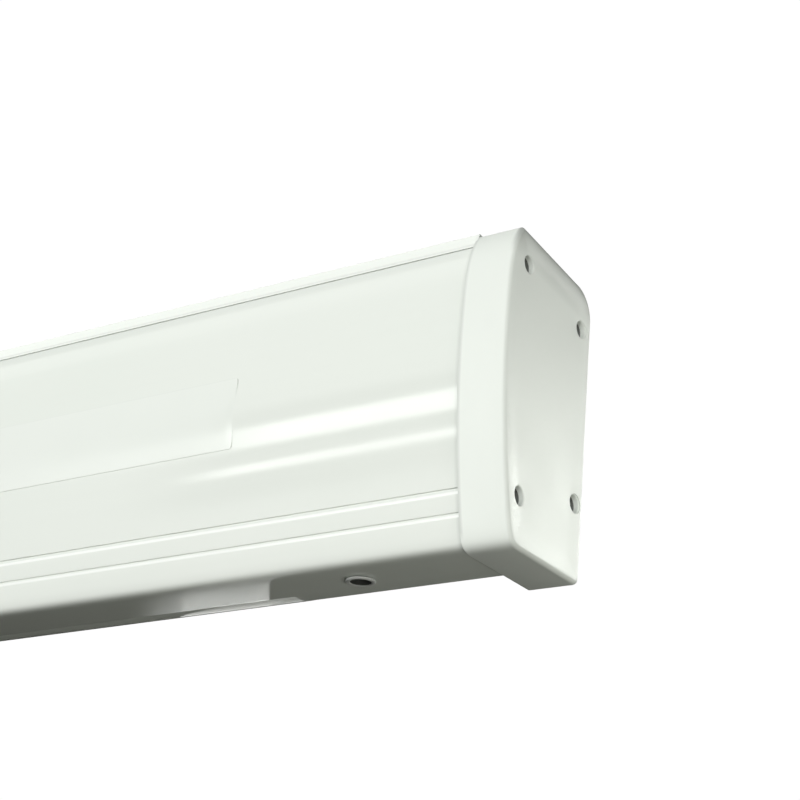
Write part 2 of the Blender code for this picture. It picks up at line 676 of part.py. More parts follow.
# ---- roller -----------------------------------------------------------------------------
bore = TUBE_RADIUS - TUBE_WALL
tube_right, tube_left = station(TUBE_START_S), -HALF + TUBE_END_S
DRIVE_S = (405.0, 425.0)
screw_x = station(sum(DRIVE_S) / 2)
tube_mesh = tube(TUBE_RADIUS, bore, tube_left, tube_right, "X", AXIS, 40)
tube_holes = [rod(2.5, 4, 24, "Z", (screw_x, AXIS_Y, AXIS_Z), steps=16), rod(2.5, -24, -4, "Z", (screw_x, AXIS_Y, AXIS_Z), steps=16)]
node("roller_tube", cut(tube_mesh, *tube_holes), ALU, AXIS)
node("limit_crown", tube(bore - 0.3, 13.0, station(96.0), station(76.6), "X", AXIS, 32), BLACK, AXIS)
shaft_end = station(402.7 + 0.3)
wheel = tube(bore - 0.3, 3.3, station(DRIVE_S[1]), station(DRIVE_S[0]), "X", AXIS, 32)
wheel_holes = [rod(1.15, 8, 24, "Z", (screw_x, AXIS_Y, AXIS_Z), steps=16), rod(1.15, -24, -8, "Z", (screw_x, AXIS_Y, AXIS_Z), steps=16)]
node("drive_wheel", cut(wheel, *wheel_holes), BLACK, AXIS)
node("motor_output_shaft", rod(3.0, station(430.0), shaft_end, "X", AXIS, 0.4, 20), BRIGHT, AXIS)
tube_screw = turned([(0, 16.0), (2.0, 15.9), (2.2, 15.7), (2.2, 14.7), (0.85, 14.7), (0.85, 9.4), (0, 9.0)], 14, "Z")
for label, turn in (("top", 0.0), ("bottom", math.pi)):
    made = tube_screw.copy()
    made.transform(Matrix.Rotation(turn, 4, "X"))
    made.transform(Matrix.Translation(Vector((screw_x, AXIS_Y, AXIS_Z)) * MM))
    node(f"drive_wheel_screw_{label}", made, BRIGHT, (screw_x, AXIS_Y, AXIS_Z))

plug = turned(
    [
        (5.2, tube_left - 5.0),
        (5.2, tube_left + 22.0),
        (bore - 0.3, tube_left + 22.0),
        (bore - 0.3, tube_left - 0.3),
        (TUBE_RADIUS, tube_left - 0.3),
        (TUBE_RADIUS, tube_left - 5.0),
    ][::-1],
    32,
    "X",
    AXIS,
)
node("roller_end_plug", plug, BLACK, AXIS)
node("idler_pin", rod(4.9, -HALF + 33.0, tube_left + 16.0, "X", AXIS, 0.6, 24), BRIGHT, AXIS)
bush_right = -HALF + BRACKET_PLATE_S[1] + 0.3
node(
    "idler_bush",
    turned(
        [(5.2, bush_right + 2.2), (9.6, bush_right + 2.2), (9.6, bush_right), (7.0, bush_right), (7.0, -HALF + 36.4), (5.2, -HALF + 36.4)],
        28,
        "X",
        AXIS,
    ),
    GREY,
    AXIS,
)
node("fabric_roll", tube(ROLL_RADIUS, TUBE_RADIUS + 0.3, -FABRIC_WIDTH / 2, FABRIC_WIDTH / 2, "X", AXIS, 44), SCREEN, AXIS)

# ---- fabric drop and weight bar ---------------------------------------------------------
bar_top = BAR_BOTTOM_Z + BAR_HEIGHT
fabric_top_y, fabric_top_z = AXIS_Y + ROLL_RADIUS + 0.35, AXIS_Z - 2.0
fabric_low_y, fabric_low_z = BAR_Y - FABRIC_THICKNESS / 2, bar_top - 3.1
sheet_outline = [
    (fabric_top_y, fabric_top_z),
    (fabric_low_y, fabric_low_z),
    (fabric_low_y + FABRIC_THICKNESS, fabric_low_z),
    (fabric_top_y + FABRIC_THICKNESS, fabric_top_z),
]
BAR_PIVOT = (0.0, BAR_Y, bar_top)
node("screen_fabric_drop", prism([sheet_outline], -FABRIC_WIDTH / 2, FABRIC_WIDTH / 2), SCREEN, BAR_PIVOT)
bar_half = HALF - SLOT_END_S - 3.3
node("weight_bar", prism([bar_outline()], -bar_half, bar_half), CASE_WHITE, BAR_PIVOT)
node("hem_rod", rod(1.7, -FABRIC_WIDTH / 2, FABRIC_WIDTH / 2, "X", (0, BAR_Y, fabric_low_z - 2.1), 0.3, 16), BRIGHT, BAR_PIVOT)


def solid_bar_outline(d):
    """The weight bar's outer shape without its slot, d inside its surface."""
    y, r, top = BAR_Y, BAR_HALF_DEPTH - d, bar_top - d
    path = [(y - r + 1.9, top - 0.9), (y - r, top - 4.8)]
    path += arc(y, BAR_BOTTOM_Z + BAR_HALF_DEPTH, r, -180, 0, 16)
    return path + [(y + r, top - 4.8), (y + r - 1.9, top - 0.9), (y + 1.2, top), (y - 1.2, top)]


end_plate = prism([solid_bar_outline(0.0)], bar_half + 0.3, bar_half + 3.0)
end_spigot = rod(4.2, bar_half - 9.0, bar_half + 1.5, "X", (0, BAR_Y, BAR_BOTTOM_Z + BAR_HALF_DEPTH), 0.4, 20)
bar_end = fused(end_plate, end_spigot)
node("weight_bar_end_left", mirrored(bar_end), CAP_WHITE, BAR_PIVOT)
node("weight_bar_end_right", bar_end, CAP_WHITE, BAR_PIVOT)

# ---- receiver and terminal block inside the case ----------------------------------------
lip_top = under_z(-20.0, SKIN + LIP_WALL)
receiver_x = (-HALF + 130.0, -HALF + 250.0)
base_box = block(*receiver_x, -35.0, -20.0, lip_top + 0.3, lip_top + 18.3, 0.8)
base_hollow = block(receiver_x[0] + 1.6, receiver_x[1] - 1.6, -33.4, -21.6, lip_top + 2.0, lip_top + 30.0)
node("receiver_box_base", cut(base_box, base_hollow), BLACK)
lid = block(*receiver_x, -35.0, -20.0, lip_top + 18.6, lip_top + 21.0, 0.5)
lid_lip = block(receiver_x[0] + 2.0, receiver_x[1] - 2.0, -33.0, -22.0, lip_top + 16.6, lip_top + 19.6)
node("receiver_box_lid", fused(lid, lid_lip), BLACK)
node(
    "receiver_circuit_board",
    block(receiver_x[0] + 2.2, receiver_x[1] - 2.2, -32.8, -22.2, lip_top + 6.0, lip_top + 7.6),
    ("board_green", (0.05, 0.22, 0.10), 0.5),
)
terminal = block(-HALF + 72.0, -HALF + 108.0, -34.0, -21.0, lip_top + 0.3, lip_top + 14.3, 0.6)
terminal_holes = [rod(1.8, lip_top + 8, lip_top + 20, "Z", (-HALF + 78.0 + 12.0 * i, y, 0), steps=8) for i in range(3) for y in (-31.0, -24.0)]
node("terminal_block", cut(terminal, *terminal_holes), TERMINAL_GREY)

# ---- wall brackets ----------------------------------------------------------------------
bracket_z0 = CAP_HEIGHT - SKIN + 0.3
bracket_z1 = bracket_z0 + BRACKET_SHEET
half_bracket = BRACKET_WIDTH / 2


def wall_bracket_mesh():
    """An L-shaped steel bracket: one leg on the case, one rising against the wall, with two slots and a bolt hole."""
    leg = prism([rounded_rect(-half_bracket, half_bracket, -42.0, -1.0, 3.0)], bracket_z0, bracket_z1, "Z")
    rise = block(-half_bracket, half_bracket, -BRACKET_SHEET, 0.0, bracket_z0, bracket_z0 + BRACKET_RISE)
    gusset_outline = [(-2.0, bracket_z1 - 0.8), (-2.0, bracket_z1 + 16.0), (-16.0, bracket_z1 - 0.8)]
    gussets = [prism([gusset_outline], x - 1.1, x + 1.1) for x in (-half_bracket + 6.0, half_bracket - 6.0)]
    bolt_hole = rod(3.3, bracket_z0 - 5, bracket_z1 + 5, "Z", (0, T_SLOT_Y, 0), steps=24)
    slots = []
    for x in (-11.0, 11.0):
        outline = rounded_rect(-2.75, 2.75, -6.0, 6.0, 2.7, 5)
        made = prism([outline], -10, 10, "Z")
        made.transform(Matrix.Translation(Vector((x, 0, bracket_z0 + 30.0)) * MM) @ Matrix.Rotation(math.pi / 2, 4, "X"))
        slots.append(made)
    return cut(fused(leg, rise, *gussets), bolt_hole, *slots)


def t_bolt_mesh():
    plate = block(-6.0, 6.0, T_SLOT_Y - 6.0, T_SLOT_Y + 6.0, T_SLOT_FLOOR + 0.6, T_SLOT_TOP - 0.3, 0.4)
    shank = rod(2.9, T_SLOT_TOP - 2.0, bracket_z1 + 9.5, "Z", (0, T_SLOT_Y, 0), 0.5, 22)
    return fused(plate, shank)


washer_z = bracket_z1 + 0.3
nut_z = washer_z + 1.5
nut_hexagon = [(5.7 * math.cos(math.radians(60 * i)), 5.7 * math.sin(math.radians(60 * i)) + T_SLOT_Y) for i in range(6)]
bracket_mesh, t_bolt = wall_bracket_mesh(), t_bolt_mesh()
washer = tube(6.2, 3.3, washer_z, washer_z + 1.2, "Z", (0, T_SLOT_Y, 0), 28)
nut = cut(prism([nut_hexagon], nut_z, nut_z + 5.0, "Z"), rod(3.2, nut_z - 3, nut_z + 9, "Z", (0, T_SLOT_Y, 0), steps=22))
for side, x in (("right", BRACKET_X), ("left", -BRACKET_X)):
    pivot = (x, T_SLOT_Y, CAP_HEIGHT - SKIN)
    node(f"wall_bracket_{side}", moved(bracket_mesh, x), ZINC, pivot)
    node(f"bracket_t_bolt_{side}", moved(t_bolt, x), BRIGHT, pivot)
    node(f"bracket_washer_{side}", moved(washer, x), BRIGHT, pivot)
    node(f"bracket_nut_{side}", moved(nut, x), BRIGHT, pivot)

# ---- blank label ------------------------------------------------------------------------
LABEL_S = (98.0, 205.0)
LABEL_Z = (40.8, 65.0)


def front_label_mesh():
    """A thin film that follows the bowed front."""
    outer = front_part(SKIN - 0.55, LABEL_Z[1], LABEL_Z[0])
    inner = front_part(SKIN - 0.30, LABEL_Z[1], LABEL_Z[0])
    return prism([outer + list(reversed(inner))], station(LABEL_S[1]), station(LABEL_S[0]))


node("front_label_blank", front_label_mesh(), LABEL)

for helper in list(cutters.objects):
    helper.hide_render = True
    helper.display_type = "WIRE"
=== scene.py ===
"""Looks of the motorised roll-down projection screen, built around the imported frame.

Metres, +Z up, the frame's own axes: X runs along the case, -Y faces the room, +Y the wall.
Sections are drawn in millimetres as (y, z), with y = 0 at the back of the caps and z = 0 at their underside,
and are moved into the frame by SHIFT when a piece is made.
"""

import json
import math

import bmesh
import bpy
import numpy as np
from mathutils import Matrix, Vector
from mathutils.geometry import delaunay_2d_cdt

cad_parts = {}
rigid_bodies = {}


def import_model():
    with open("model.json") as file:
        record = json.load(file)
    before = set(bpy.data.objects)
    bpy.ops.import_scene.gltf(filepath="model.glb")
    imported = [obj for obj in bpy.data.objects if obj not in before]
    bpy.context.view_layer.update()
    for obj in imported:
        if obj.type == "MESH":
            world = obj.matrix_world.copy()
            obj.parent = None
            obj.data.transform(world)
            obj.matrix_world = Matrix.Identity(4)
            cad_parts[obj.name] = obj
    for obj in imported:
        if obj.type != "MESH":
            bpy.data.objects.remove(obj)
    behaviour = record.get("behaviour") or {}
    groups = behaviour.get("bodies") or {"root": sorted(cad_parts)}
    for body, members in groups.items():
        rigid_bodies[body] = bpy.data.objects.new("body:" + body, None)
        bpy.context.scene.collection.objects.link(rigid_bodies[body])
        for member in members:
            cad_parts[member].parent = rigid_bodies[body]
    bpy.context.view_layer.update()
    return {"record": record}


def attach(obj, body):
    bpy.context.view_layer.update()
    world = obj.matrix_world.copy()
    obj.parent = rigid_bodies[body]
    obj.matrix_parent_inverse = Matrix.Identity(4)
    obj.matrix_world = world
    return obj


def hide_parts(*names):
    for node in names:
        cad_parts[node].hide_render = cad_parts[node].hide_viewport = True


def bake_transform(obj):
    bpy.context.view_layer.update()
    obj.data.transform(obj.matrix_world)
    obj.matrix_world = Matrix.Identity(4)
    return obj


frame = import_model()
BODY_OF = {n: b for b, names in frame["record"]["behaviour"]["bodies"].items() for n in names}
scene = bpy.context.scene

MM = 0.001

# ---- the same driving dimensions as the frame, in millimetres ---------------------------
HALF = 893.0
CAP_HEIGHT, CAP_DEPTH, CAP_WIDTH = 100.0, 52.1, 16.0
CAP_PLATE, CAP_RIM, CAP_EDGE = 2.5, 0.9, 1.3
PEAK_Z, TOP_SET_BACK, LOW_SET_BACK = 70.0, 6.0, 7.6
CORNER_Z, CORNER_END_Y, BOTTOM_RISE = 10.0, -34.5, 2.6
BACK_LOW_RADIUS, BACK_TOP_RADIUS = 2.0, 9.5
SKIN, WALL, LIP_WALL = 1.2, 1.5, 1.8
SEAM_Z, SEAM_GAP = 96.3, 0.55
UPSTAND_TOP, UPSTAND_BACK_Y = 102.2, -43.0
GROOVES = ((17.66, 17.60, 15.95), (10.71, 10.65, 9.30))
LIP_END_Y, SLOT_FRONT_Y, SLOT_END_S, BACK_WALL_END_Z = -13.5, -19.5, 88.0, 10.0
PORT_OUT, PORT_IN = 3.2, 1.6
PORTS = {
    "upper_front": (-41.2, 89.5),
    "upper_back": (-6.2, 85.5),
    "lower_front": (-38.0, 15.5),
    "lower_back": (-4.6, 27.0),
}
BOSS_RADIUS, BOSS_END_S = 4.0, 7.0
RECESS_RADIUS, RECESS_DEPTH, RECESS_SHADE, SCREW_HEAD_RADIUS = 2.75, 4.6, 2.0, 2.5
T_SLOT_Y, T_SLOT_MOUTH, T_SLOT_WIDTH, T_SLOT_TOP, T_SLOT_FLOOR = -26.5, 7.0, 13.0, 96.5, 91.5
AXIS_Y, AXIS_Z = -26.5, 64.0
TUBE_RADIUS, TUBE_WALL, TUBE_START_S, TUBE_END_S = 16.0, 1.3, 79.0, 72.0
ROLL_RADIUS, FABRIC_WIDTH, FABRIC_THICKNESS = 19.4, 1600.0, 0.32
ADJUSTER_S, ACCESS_RADIUS = 59.0, 4.0
BAR_Y, BAR_BOTTOM_Z, BAR_HALF_DEPTH, BAR_HEIGHT = -10.8, 4.7, 6.0, 19.2
BRACKET_X, BRACKET_WIDTH, BRACKET_SHEET, BRACKET_RISE = 560.0, 44.0, 2.5, 44.0
LABEL_S, LABEL_Z = (97.2, 205.0), (41.3, 65.5)
AXIS = (0.0, AXIS_Y, AXIS_Z)
SHIFT = Vector((0.0, SKIN, -CAP_HEIGHT / 2)) * MM


def station(s):
    """X of a station s from the right-hand cap's outer face."""
    return HALF - s


# ---- outlines ---------------------------------------------------------------------------
def arc(cy, cz, r, a0, a1, n):
    """Points of an arc, angles in degrees from +y towards +z."""
    return [
        (cy + r * math.cos(math.radians(a0 + (a1 - a0) * i / n)), cz + r * math.sin(math.radians(a0 + (a1 - a0) * i / n)))
        for i in range(n + 1)
    ]


def front_y(z):
    if z >= PEAK_Z:
        return -CAP_DEPTH + TOP_SET_BACK * ((z - PEAK_Z) / (CAP_HEIGHT - PEAK_Z)) ** 3.5
    return -CAP_DEPTH + LOW_SET_BACK * ((PEAK_Z - z) / (PEAK_Z - CORNER_Z)) ** 2


FRONT_STEPS, CORNER_STEPS = 60, 22


def front_line(count=FRONT_STEPS):
    return [(front_y(z), z) for z in (CAP_HEIGHT - (CAP_HEIGHT - CORNER_Z) * i / count for i in range(count + 1))]


UNDER_SLOPE = BOTTOM_RISE / -CORNER_END_Y


def under_z(y, d=0.0):
    return UNDER_SLOPE * (y - CORNER_END_Y) + d * math.hypot(1, UNDER_SLOPE)


def bottom_corner(count=CORNER_STEPS):
    y0 = front_y(CORNER_Z)
    slope = (front_y(CORNER_Z + 0.01) - y0) / 0.01
    meet_y = (y0 - slope * (UNDER_SLOPE * CORNER_END_Y + CORNER_Z)) / (1 - slope * UNDER_SLOPE)
    p0, p1, p2 = (y0, CORNER_Z), (meet_y, under_z(meet_y)), (CORNER_END_Y, 0.0)
    a, b = (tuple(e + 0.92 * (m - e) for e, m in zip(end, p1)) for end in (p0, p2))
    made = []
    for i in range(1, count + 1):
        t = i / count
        shares = ((1 - t) ** 3, 3 * t * (1 - t) ** 2, 3 * t * t * (1 - t), t**3)
        made.append(tuple(sum(w * q[k] for w, q in zip(shares, (p0, a, b, p2))) for k in (0, 1)))
    return made


def cap_outline():
    """Closed outline of an end cap, anticlockwise seen from +X with +y to the right."""
    outline = front_line() + bottom_corner()
    r = BACK_LOW_RADIUS
    tilt = math.degrees(math.atan(UNDER_SLOPE))
    outline += arc(-r, under_z(-r, r), r, tilt - 90, 0, 10)
    r = BACK_TOP_RADIUS
    return outline + arc(-r, CAP_HEIGHT - r, r, 0, 90, 22)


def inset(outline, d):
    """The outline moved inwards by d."""
    n, made = len(outline), []
    for i in range(n):
        (ay, az), (by, bz), (cy, cz) = outline[i - 1], outline[i], outline[(i + 1) % n]
        u, v = Vector((by - ay, bz - az)).normalized(), Vector((cy - by, cz - bz)).normalized()
        nu, nv = Vector((-u.y, u.x)), Vector((-v.y, v.x))
        mid = (nu + nv).normalized()
        made.append((by + mid.x * d / mid.dot(nu), bz + mid.y * d / mid.dot(nu)))
    return made


def filleted(loop, radius, least=30.0, steps=3, only=None):
    """The loop with its corners rounded: those that turn by more than least degrees, or only the ones listed."""
    n, made = len(loop), []
    for i, corner in enumerate(loop):
        p = Vector(corner)
        a, b = Vector(loop[i - 1]) - p, Vector(loop[(i + 1) % n]) - p
        turn = math.pi - a.angle(b)
        if (only is None and math.degrees(turn) < least) or (only is not None and i not in only):
            made.append(tuple(p))
            continue
        reach = min(radius * math.tan(turn / 2), 0.46 * a.length, 0.46 * b.length)
        first, last = p + a.normalized() * reach, p + b.normalized() * reach
        for k in range(steps + 1):
            t = k / steps
            made.append(tuple((1 - t) ** 2 * first + 2 * t * (1 - t) * p + t * t * last))
    return made


def front_part(d, high, low):
    """The front surface d inside the caps' outline, from height high down to low."""
    line = inset(cap_outline(), d)[: FRONT_STEPS + 1]

    def at(z):
        for (ya, za), (yb, zb) in zip(line, line[1:]):
            if za >= z >= zb:
                return (ya + (yb - ya) * (z - za) / (zb - za), z)
        return line[-1] if z < line[-1][1] else line[0]

    return [at(high)] + [p for p in line if low + 0.05 < p[1] < high - 0.05] + [at(low)]


def corner_part(d):
    return inset(cap_outline(), d)[FRONT_STEPS + 1 : FRONT_STEPS + 1 + CORNER_STEPS]


def port(centre, neck, to_wall, neck_half=1.0, mouth=34.0, n=12):
    """An open screw port on a wall's inner side. neck is the angle from its centre to the wall."""
    cy, cz = centre
    a = math.radians(neck)
    along, across = Vector((math.cos(a), math.sin(a))), Vector((-math.sin(a), math.cos(a)))
    if to_wall < PORT_OUT:
        beta, first, last = math.degrees(math.acos(to_wall / PORT_OUT)), [], []
    else:
        beta = math.degrees(math.asin(neck_half / PORT_OUT))
        first = [tuple(Vector(centre) + along * to_wall + across * neck_half)]
        last = [tuple(Vector(centre) + along * to_wall - across * neck_half)]
    path = first + arc(cy, cz, PORT_OUT, neck + beta, neck + 180 - mouth, n)
    path += arc(cy, cz, PORT_IN, neck + 180 - mouth, neck - 180 + mouth, 20)
    return path + arc(cy, cz, PORT_OUT, neck + 180 + mouth, neck + 360 - beta, n) + last


def top_and_back_outline():
    top, inner_top = CAP_HEIGHT - SKIN, CAP_HEIGHT - SKIN - WALL
    back, inner_back = -SKIN, -SKIN - WALL
    r = BACK_TOP_RADIUS
    half_mouth, half_slot = T_SLOT_MOUTH / 2, T_SLOT_WIDTH / 2
    path = [(back, BACK_WALL_END_Z)]
    path += arc(-r, CAP_HEIGHT - r, r - SKIN, 0, 90, 20)
    path += [(T_SLOT_Y + half_mouth, top), (T_SLOT_Y + half_mouth, T_SLOT_TOP)]
    path += [(T_SLOT_Y + half_slot, T_SLOT_TOP), (T_SLOT_Y + half_slot, T_SLOT_FLOOR)]
    path += [(T_SLOT_Y - half_slot, T_SLOT_FLOOR), (T_SLOT_Y - half_slot, T_SLOT_TOP)]
    path += [(T_SLOT_Y - half_mouth, T_SLOT_TOP), (T_SLOT_Y - half_mouth, top)]
    seam = SEAM_Z + SEAM_GAP / 2
    face = front_part(SKIN, top, seam)
    tip_y = face[0][0] + 0.2 * (UPSTAND_TOP - top)
    path += [(UPSTAND_BACK_Y, top), (UPSTAND_BACK_Y, UPSTAND_TOP), (tip_y, UPSTAND_TOP)] + face
    path += [(face[-1][0] + WALL + 0.3, seam), (face[-1][0] + WALL + 0.9, inner_top)]
    path += port(PORTS["upper_front"], 90, inner_top + 0.05 - PORTS["upper_front"][1])
    path += [(T_SLOT_Y - half_slot - WALL, inner_top), (T_SLOT_Y - half_slot - WALL, T_SLOT_FLOOR - WALL)]
    path += [(T_SLOT_Y + half_slot + WALL, T_SLOT_FLOOR - WALL), (T_SLOT_Y + half_slot + WALL, inner_top)]
    path += arc(-r, CAP_HEIGHT - r, r - SKIN - WALL, 90, 0, 20)
    path += port(PORTS["upper_back"], 0, inner_back - PORTS["upper_back"][0])
    path += port(PORTS["lower_back"], 0, inner_back - PORTS["lower_back"][0])
    return filleted(path + [(inner_back, BACK_WALL_END_Z)], 0.22, 32)


def front_cover_outline():
    """Each groove is a ledge: a short face turned down over a longer one turned up, given by their three heights."""
    seam = SEAM_Z - SEAM_GAP / 2
    skin = inset(cap_outline(), SKIN)[: FRONT_STEPS + 1 + CORNER_STEPS]

    def skin_between(high, low):
        points = []
        for z in (high, low):
            for (ya, za), (yb, zb) in zip(skin, skin[1:]):
                if za >= z > zb:
                    points.append((ya + (yb - ya) * (z - za) / (zb - za), z))
                    break
        return [points[0]] + [p for p in skin if low + 0.05 < p[1] < high - 0.05] + [points[1]]

    path, high = [], seam
    for top, root, low in GROOVES:
        path += skin_between(high, top)
        foot_y = skin_between(low, low - 0.2)[0][0]
        path += [(foot_y + 0.10 * (root - low), root)]
        high = low
    path += [skin_between(high, high - 0.2)[0]]
    path += [p for p in skin[FRONT_STEPS - 3 :] if p[1] < high - 0.05]
    path += [(LIP_END_Y - 0.5, under_z(LIP_END_Y - 0.5, SKIN)), (LIP_END_Y, under_z(LIP_END_Y, SKIN) + 0.5)]
    path += [(LIP_END_Y, under_z(LIP_END_Y, SKIN + LIP_WALL))]
    path += list(reversed(corner_part(SKIN + LIP_WALL)))
    low = CORNER_Z + 2.0
    y, z = PORTS["lower_front"]
    path += list(reversed(front_part(SKIN + WALL, z - 1.0, low)))
    path += port(PORTS["lower_front"], 180, y - front_part(SKIN + WALL, z, low)[0][0])[1:-1]
    path += list(reversed(front_part(SKIN + WALL, SEAM_Z - 4.0, z + 1.0)))
    path += list(reversed(front_part(SKIN + WALL + 1.5, seam, SEAM_Z - 4.0)))
    return filleted(path, 0.2, 28)


def bar_outline():
    y, r = BAR_Y, BAR_HALF_DEPTH
    top, wall = BAR_BOTTOM_Z + BAR_HEIGHT, 1.3
    path = [(y + 1.2, top), (y + 1.2, top - wall)]
    path += [(y + r - wall - 1.6, top - wall - 0.9), (y + r - wall, top - wall - 4.4)]
    path += arc(y, BAR_BOTTOM_Z + r, r - wall, 0, -180, 28)
    path += [(y - r + wall, top - wall - 4.4), (y - r + wall + 1.6, top - wall - 0.9)]
    path += [(y - 1.2, top - wall), (y - 1.2, top)]
    path += [(y - r + 1.9, top - 0.9), (y - r, top - 4.8)]
    path += arc(y, BAR_BOTTOM_Z + r, r, -180, 0, 36)
    return filleted(path + [(y + r, top - 4.8), (y + r - 1.9, top - 0.9)], 0.4, 20)


# ---- shapes -----------------------------------------------------------------------------
ALONG_X = Matrix(((0, 0, 1, 0), (1, 0, 0, 0), (0, 1, 0, 0), (0, 0, 0, 1)))
AXES = {"X": ALONG_X, "Z": Matrix.Identity(4), "Y": Matrix(((0, 1, 0, 0), (0, 0, 1, 0), (1, 0, 0, 0), (0, 0, 0, 1)))}
work = bpy.data.collections.new("work")
scene.collection.children.link(work)


def mesh_of(shape, weld=2e-6):
    """A mesh datablock from a bmesh, welded and facing out."""
    bmesh.ops.remove_doubles(shape, verts=shape.verts, dist=weld)
    bmesh.ops.dissolve_degenerate(shape, dist=1e-7, edges=shape.edges[:])
    bmesh.ops.recalc_face_normals(shape, faces=shape.faces)
    if shape.calc_volume(signed=True) < 0:
        bmesh.ops.reverse_faces(shape, faces=shape.faces)
    mesh = bpy.data.meshes.new("shape")
    shape.to_mesh(mesh)
    shape.free()
    return mesh


def lofted(rings, closed_ends=True, around=True):
    """A mesh through rings of equal length, each a list of 3-D points in metres."""
    shape = bmesh.new()
    made = [[shape.verts.new(p) for p in ring] for ring in rings]
    n = len(rings[0])
    for a, b in zip(made, made[1:]):
        for i in range(n if around else n - 1):
            j = (i + 1) % n
            shape.faces.new((a[i], a[j], b[j], b[i]))
    if closed_ends:
        shape.faces.new(list(reversed(made[0])))
        shape.faces.new(made[-1])
    return mesh_of(shape)


def swept(loop, stops, axis="X"):
    """A section drawn out along an axis; stops are (station, inset) pairs, so that ends can be broken."""
    rings = []
    for h, d in stops:
        ring = loop if d == 0 else inset(loop, d)
        rings.append([AXES[axis] @ Vector((a * MM, b * MM, h * MM)) for a, b in ring])
    return lofted(rings)


def prism(loop, h0, h1, axis="X"):
    return swept(loop, ((h0, 0), (h1, 0)), axis)


def turned(profile, steps=48, axis="X", centre=(0.0, 0.0, 0.0)):
    """A turned shape from (radius, height) points in millimetres, closed on the axis or a closed ring."""
    ring = profile[0][0] > 1e-6
    shape = bmesh.new()
    matrix = Matrix.Translation(Vector(centre) * MM) @ AXES[axis]
    columns = []
    for r, h in profile:
        if r < 1e-6:
            columns.append([shape.verts.new(matrix @ Vector((0, 0, h * MM)))] * steps)
            continue
        turns = [math.tau * i / steps for i in range(steps)]
        columns.append([shape.verts.new(matrix @ (Vector((r * math.cos(t), r * math.sin(t), h)) * MM)) for t in turns])
    pairs = list(zip(columns, columns[1:])) + ([(columns[-1], columns[0])] if ring else [])
    for a, b in pairs:
        for i in range(steps):
            j = (i + 1) % steps
            corners = []
            for v in (a[i], a[j], b[j], b[i]):
                if v not in corners:
                    corners.append(v)
            if len(corners) > 2:
                shape.faces.new(corners)
    return mesh_of(shape)


def softened(profile, r=0.25, least=25.0, steps=3):
    """A turning profile with its corners rounded, apart from points on the axis."""
    out = []
    closed = profile[0][0] > 1e-6
    n = len(profile)
    for i, q in enumerate(profile):
        if q[0] < 1e-6 or (not closed and i in (0, n - 1)):
            out.append(q)
            continue
        p = Vector(q)
        a, b = Vector(profile[i - 1]) - p, Vector(profile[(i + 1) % n]) - p
        turn = math.pi - a.angle(b)
        if math.degrees(turn) < least:
            out.append(q)
            continue
        reach = min(r * math.tan(turn / 2), 0.45 * a.length, 0.45 * b.length)
        first, last = p + a.normalized() * reach, p + b.normalized() * reach
        out += [tuple((1 - t) ** 2 * first + 2 * t * (1 - t) * p + t * t * last) for t in (k / steps for k in range(steps + 1))]
    return out


def rod(r, h0, h1, axis="X", centre=(0.0, 0.0, 0.0), chamfer=0.0, steps=48):
    profile = [(0, h1), (r, h1), (r, h0), (0, h0)]
    return turned(softened(profile, chamfer) if chamfer else profile, steps, axis, centre)


def tube(r, bore, h0, h1, axis="X", centre=(0.0, 0.0, 0.0), steps=64, edge=0.2):
    return turned(softened([(bore, h1), (r, h1), (r, h0), (bore, h0)], edge), steps, axis, centre)


def block(x0, x1, y0, y1, z0, z1, bevel=0.0, segments=3):
    shape = bmesh.new()
    bmesh.ops.create_cube(shape, size=1.0)
    size = Vector((abs(x1 - x0), y1 - y0, z1 - z0)) * MM
    middle = Vector((x0 + x1, y0 + y1, z0 + z1)) * MM / 2
    bmesh.ops.transform(shape, matrix=Matrix.Translation(middle) @ Matrix.Diagonal((*size, 1)), verts=shape.verts)
    if bevel:
        bmesh.ops.bevel(shape, geom=shape.edges[:], offset=bevel * MM, segments=segments, profile=0.5, affect="EDGES")
    return mesh_of(shape)


def joined(mesh, operation, *others):
    """mesh after a Boolean with each of the others in turn."""
    body = bpy.data.objects.new("body", mesh)
    work.objects.link(body)
    helpers = []
    for i, other in enumerate(others):
        helper = bpy.data.objects.new("helper", other)
        work.objects.link(helper)
        helpers.append(helper)
        cut = body.modifiers.new(f"{operation.lower()}_{i}", "BOOLEAN")
        cut.operation, cut.solver, cut.object = operation, "EXACT", helper
    bpy.context.view_layer.update()
    made = bpy.data.meshes.new_from_object(body.evaluated_get(bpy.context.evaluated_depsgraph_get()))
    for obj in [body, *helpers]:
        bpy.data.objects.remove(obj, do_unlink=True)
    shape = bmesh.new()
    shape.from_mesh(made)
    return mesh_of(shape)


def cut(mesh, *others):
    return joined(mesh, "DIFFERENCE", *others)


def fused(mesh, *others):
    return joined(mesh, "UNION", *others)


def rounded_rect(a0, a1, b0, b1, r, n=8):
    return (
        arc(a1 - r, b0 + r, r, -90, 0, n)
        + arc(a1 - r, b1 - r, r, 0, 90, n)
        + arc(a0 + r, b1 - r, r, 90, 180, n)
        + arc(a0 + r, b0 + r, r, 180, 270, n)
    )


def moved(mesh, dx=0.0, dy=0.0, dz=0.0):
    made = mesh.copy()
    made.transform(Matrix.Translation(Vector((dx, dy, dz)) * MM))
    return made


def mirrored(mesh):
    made = mesh.copy()
    made.transform(Matrix.Diagonal((-1, 1, 1, 1)))
    made.flip_normals()
    return made


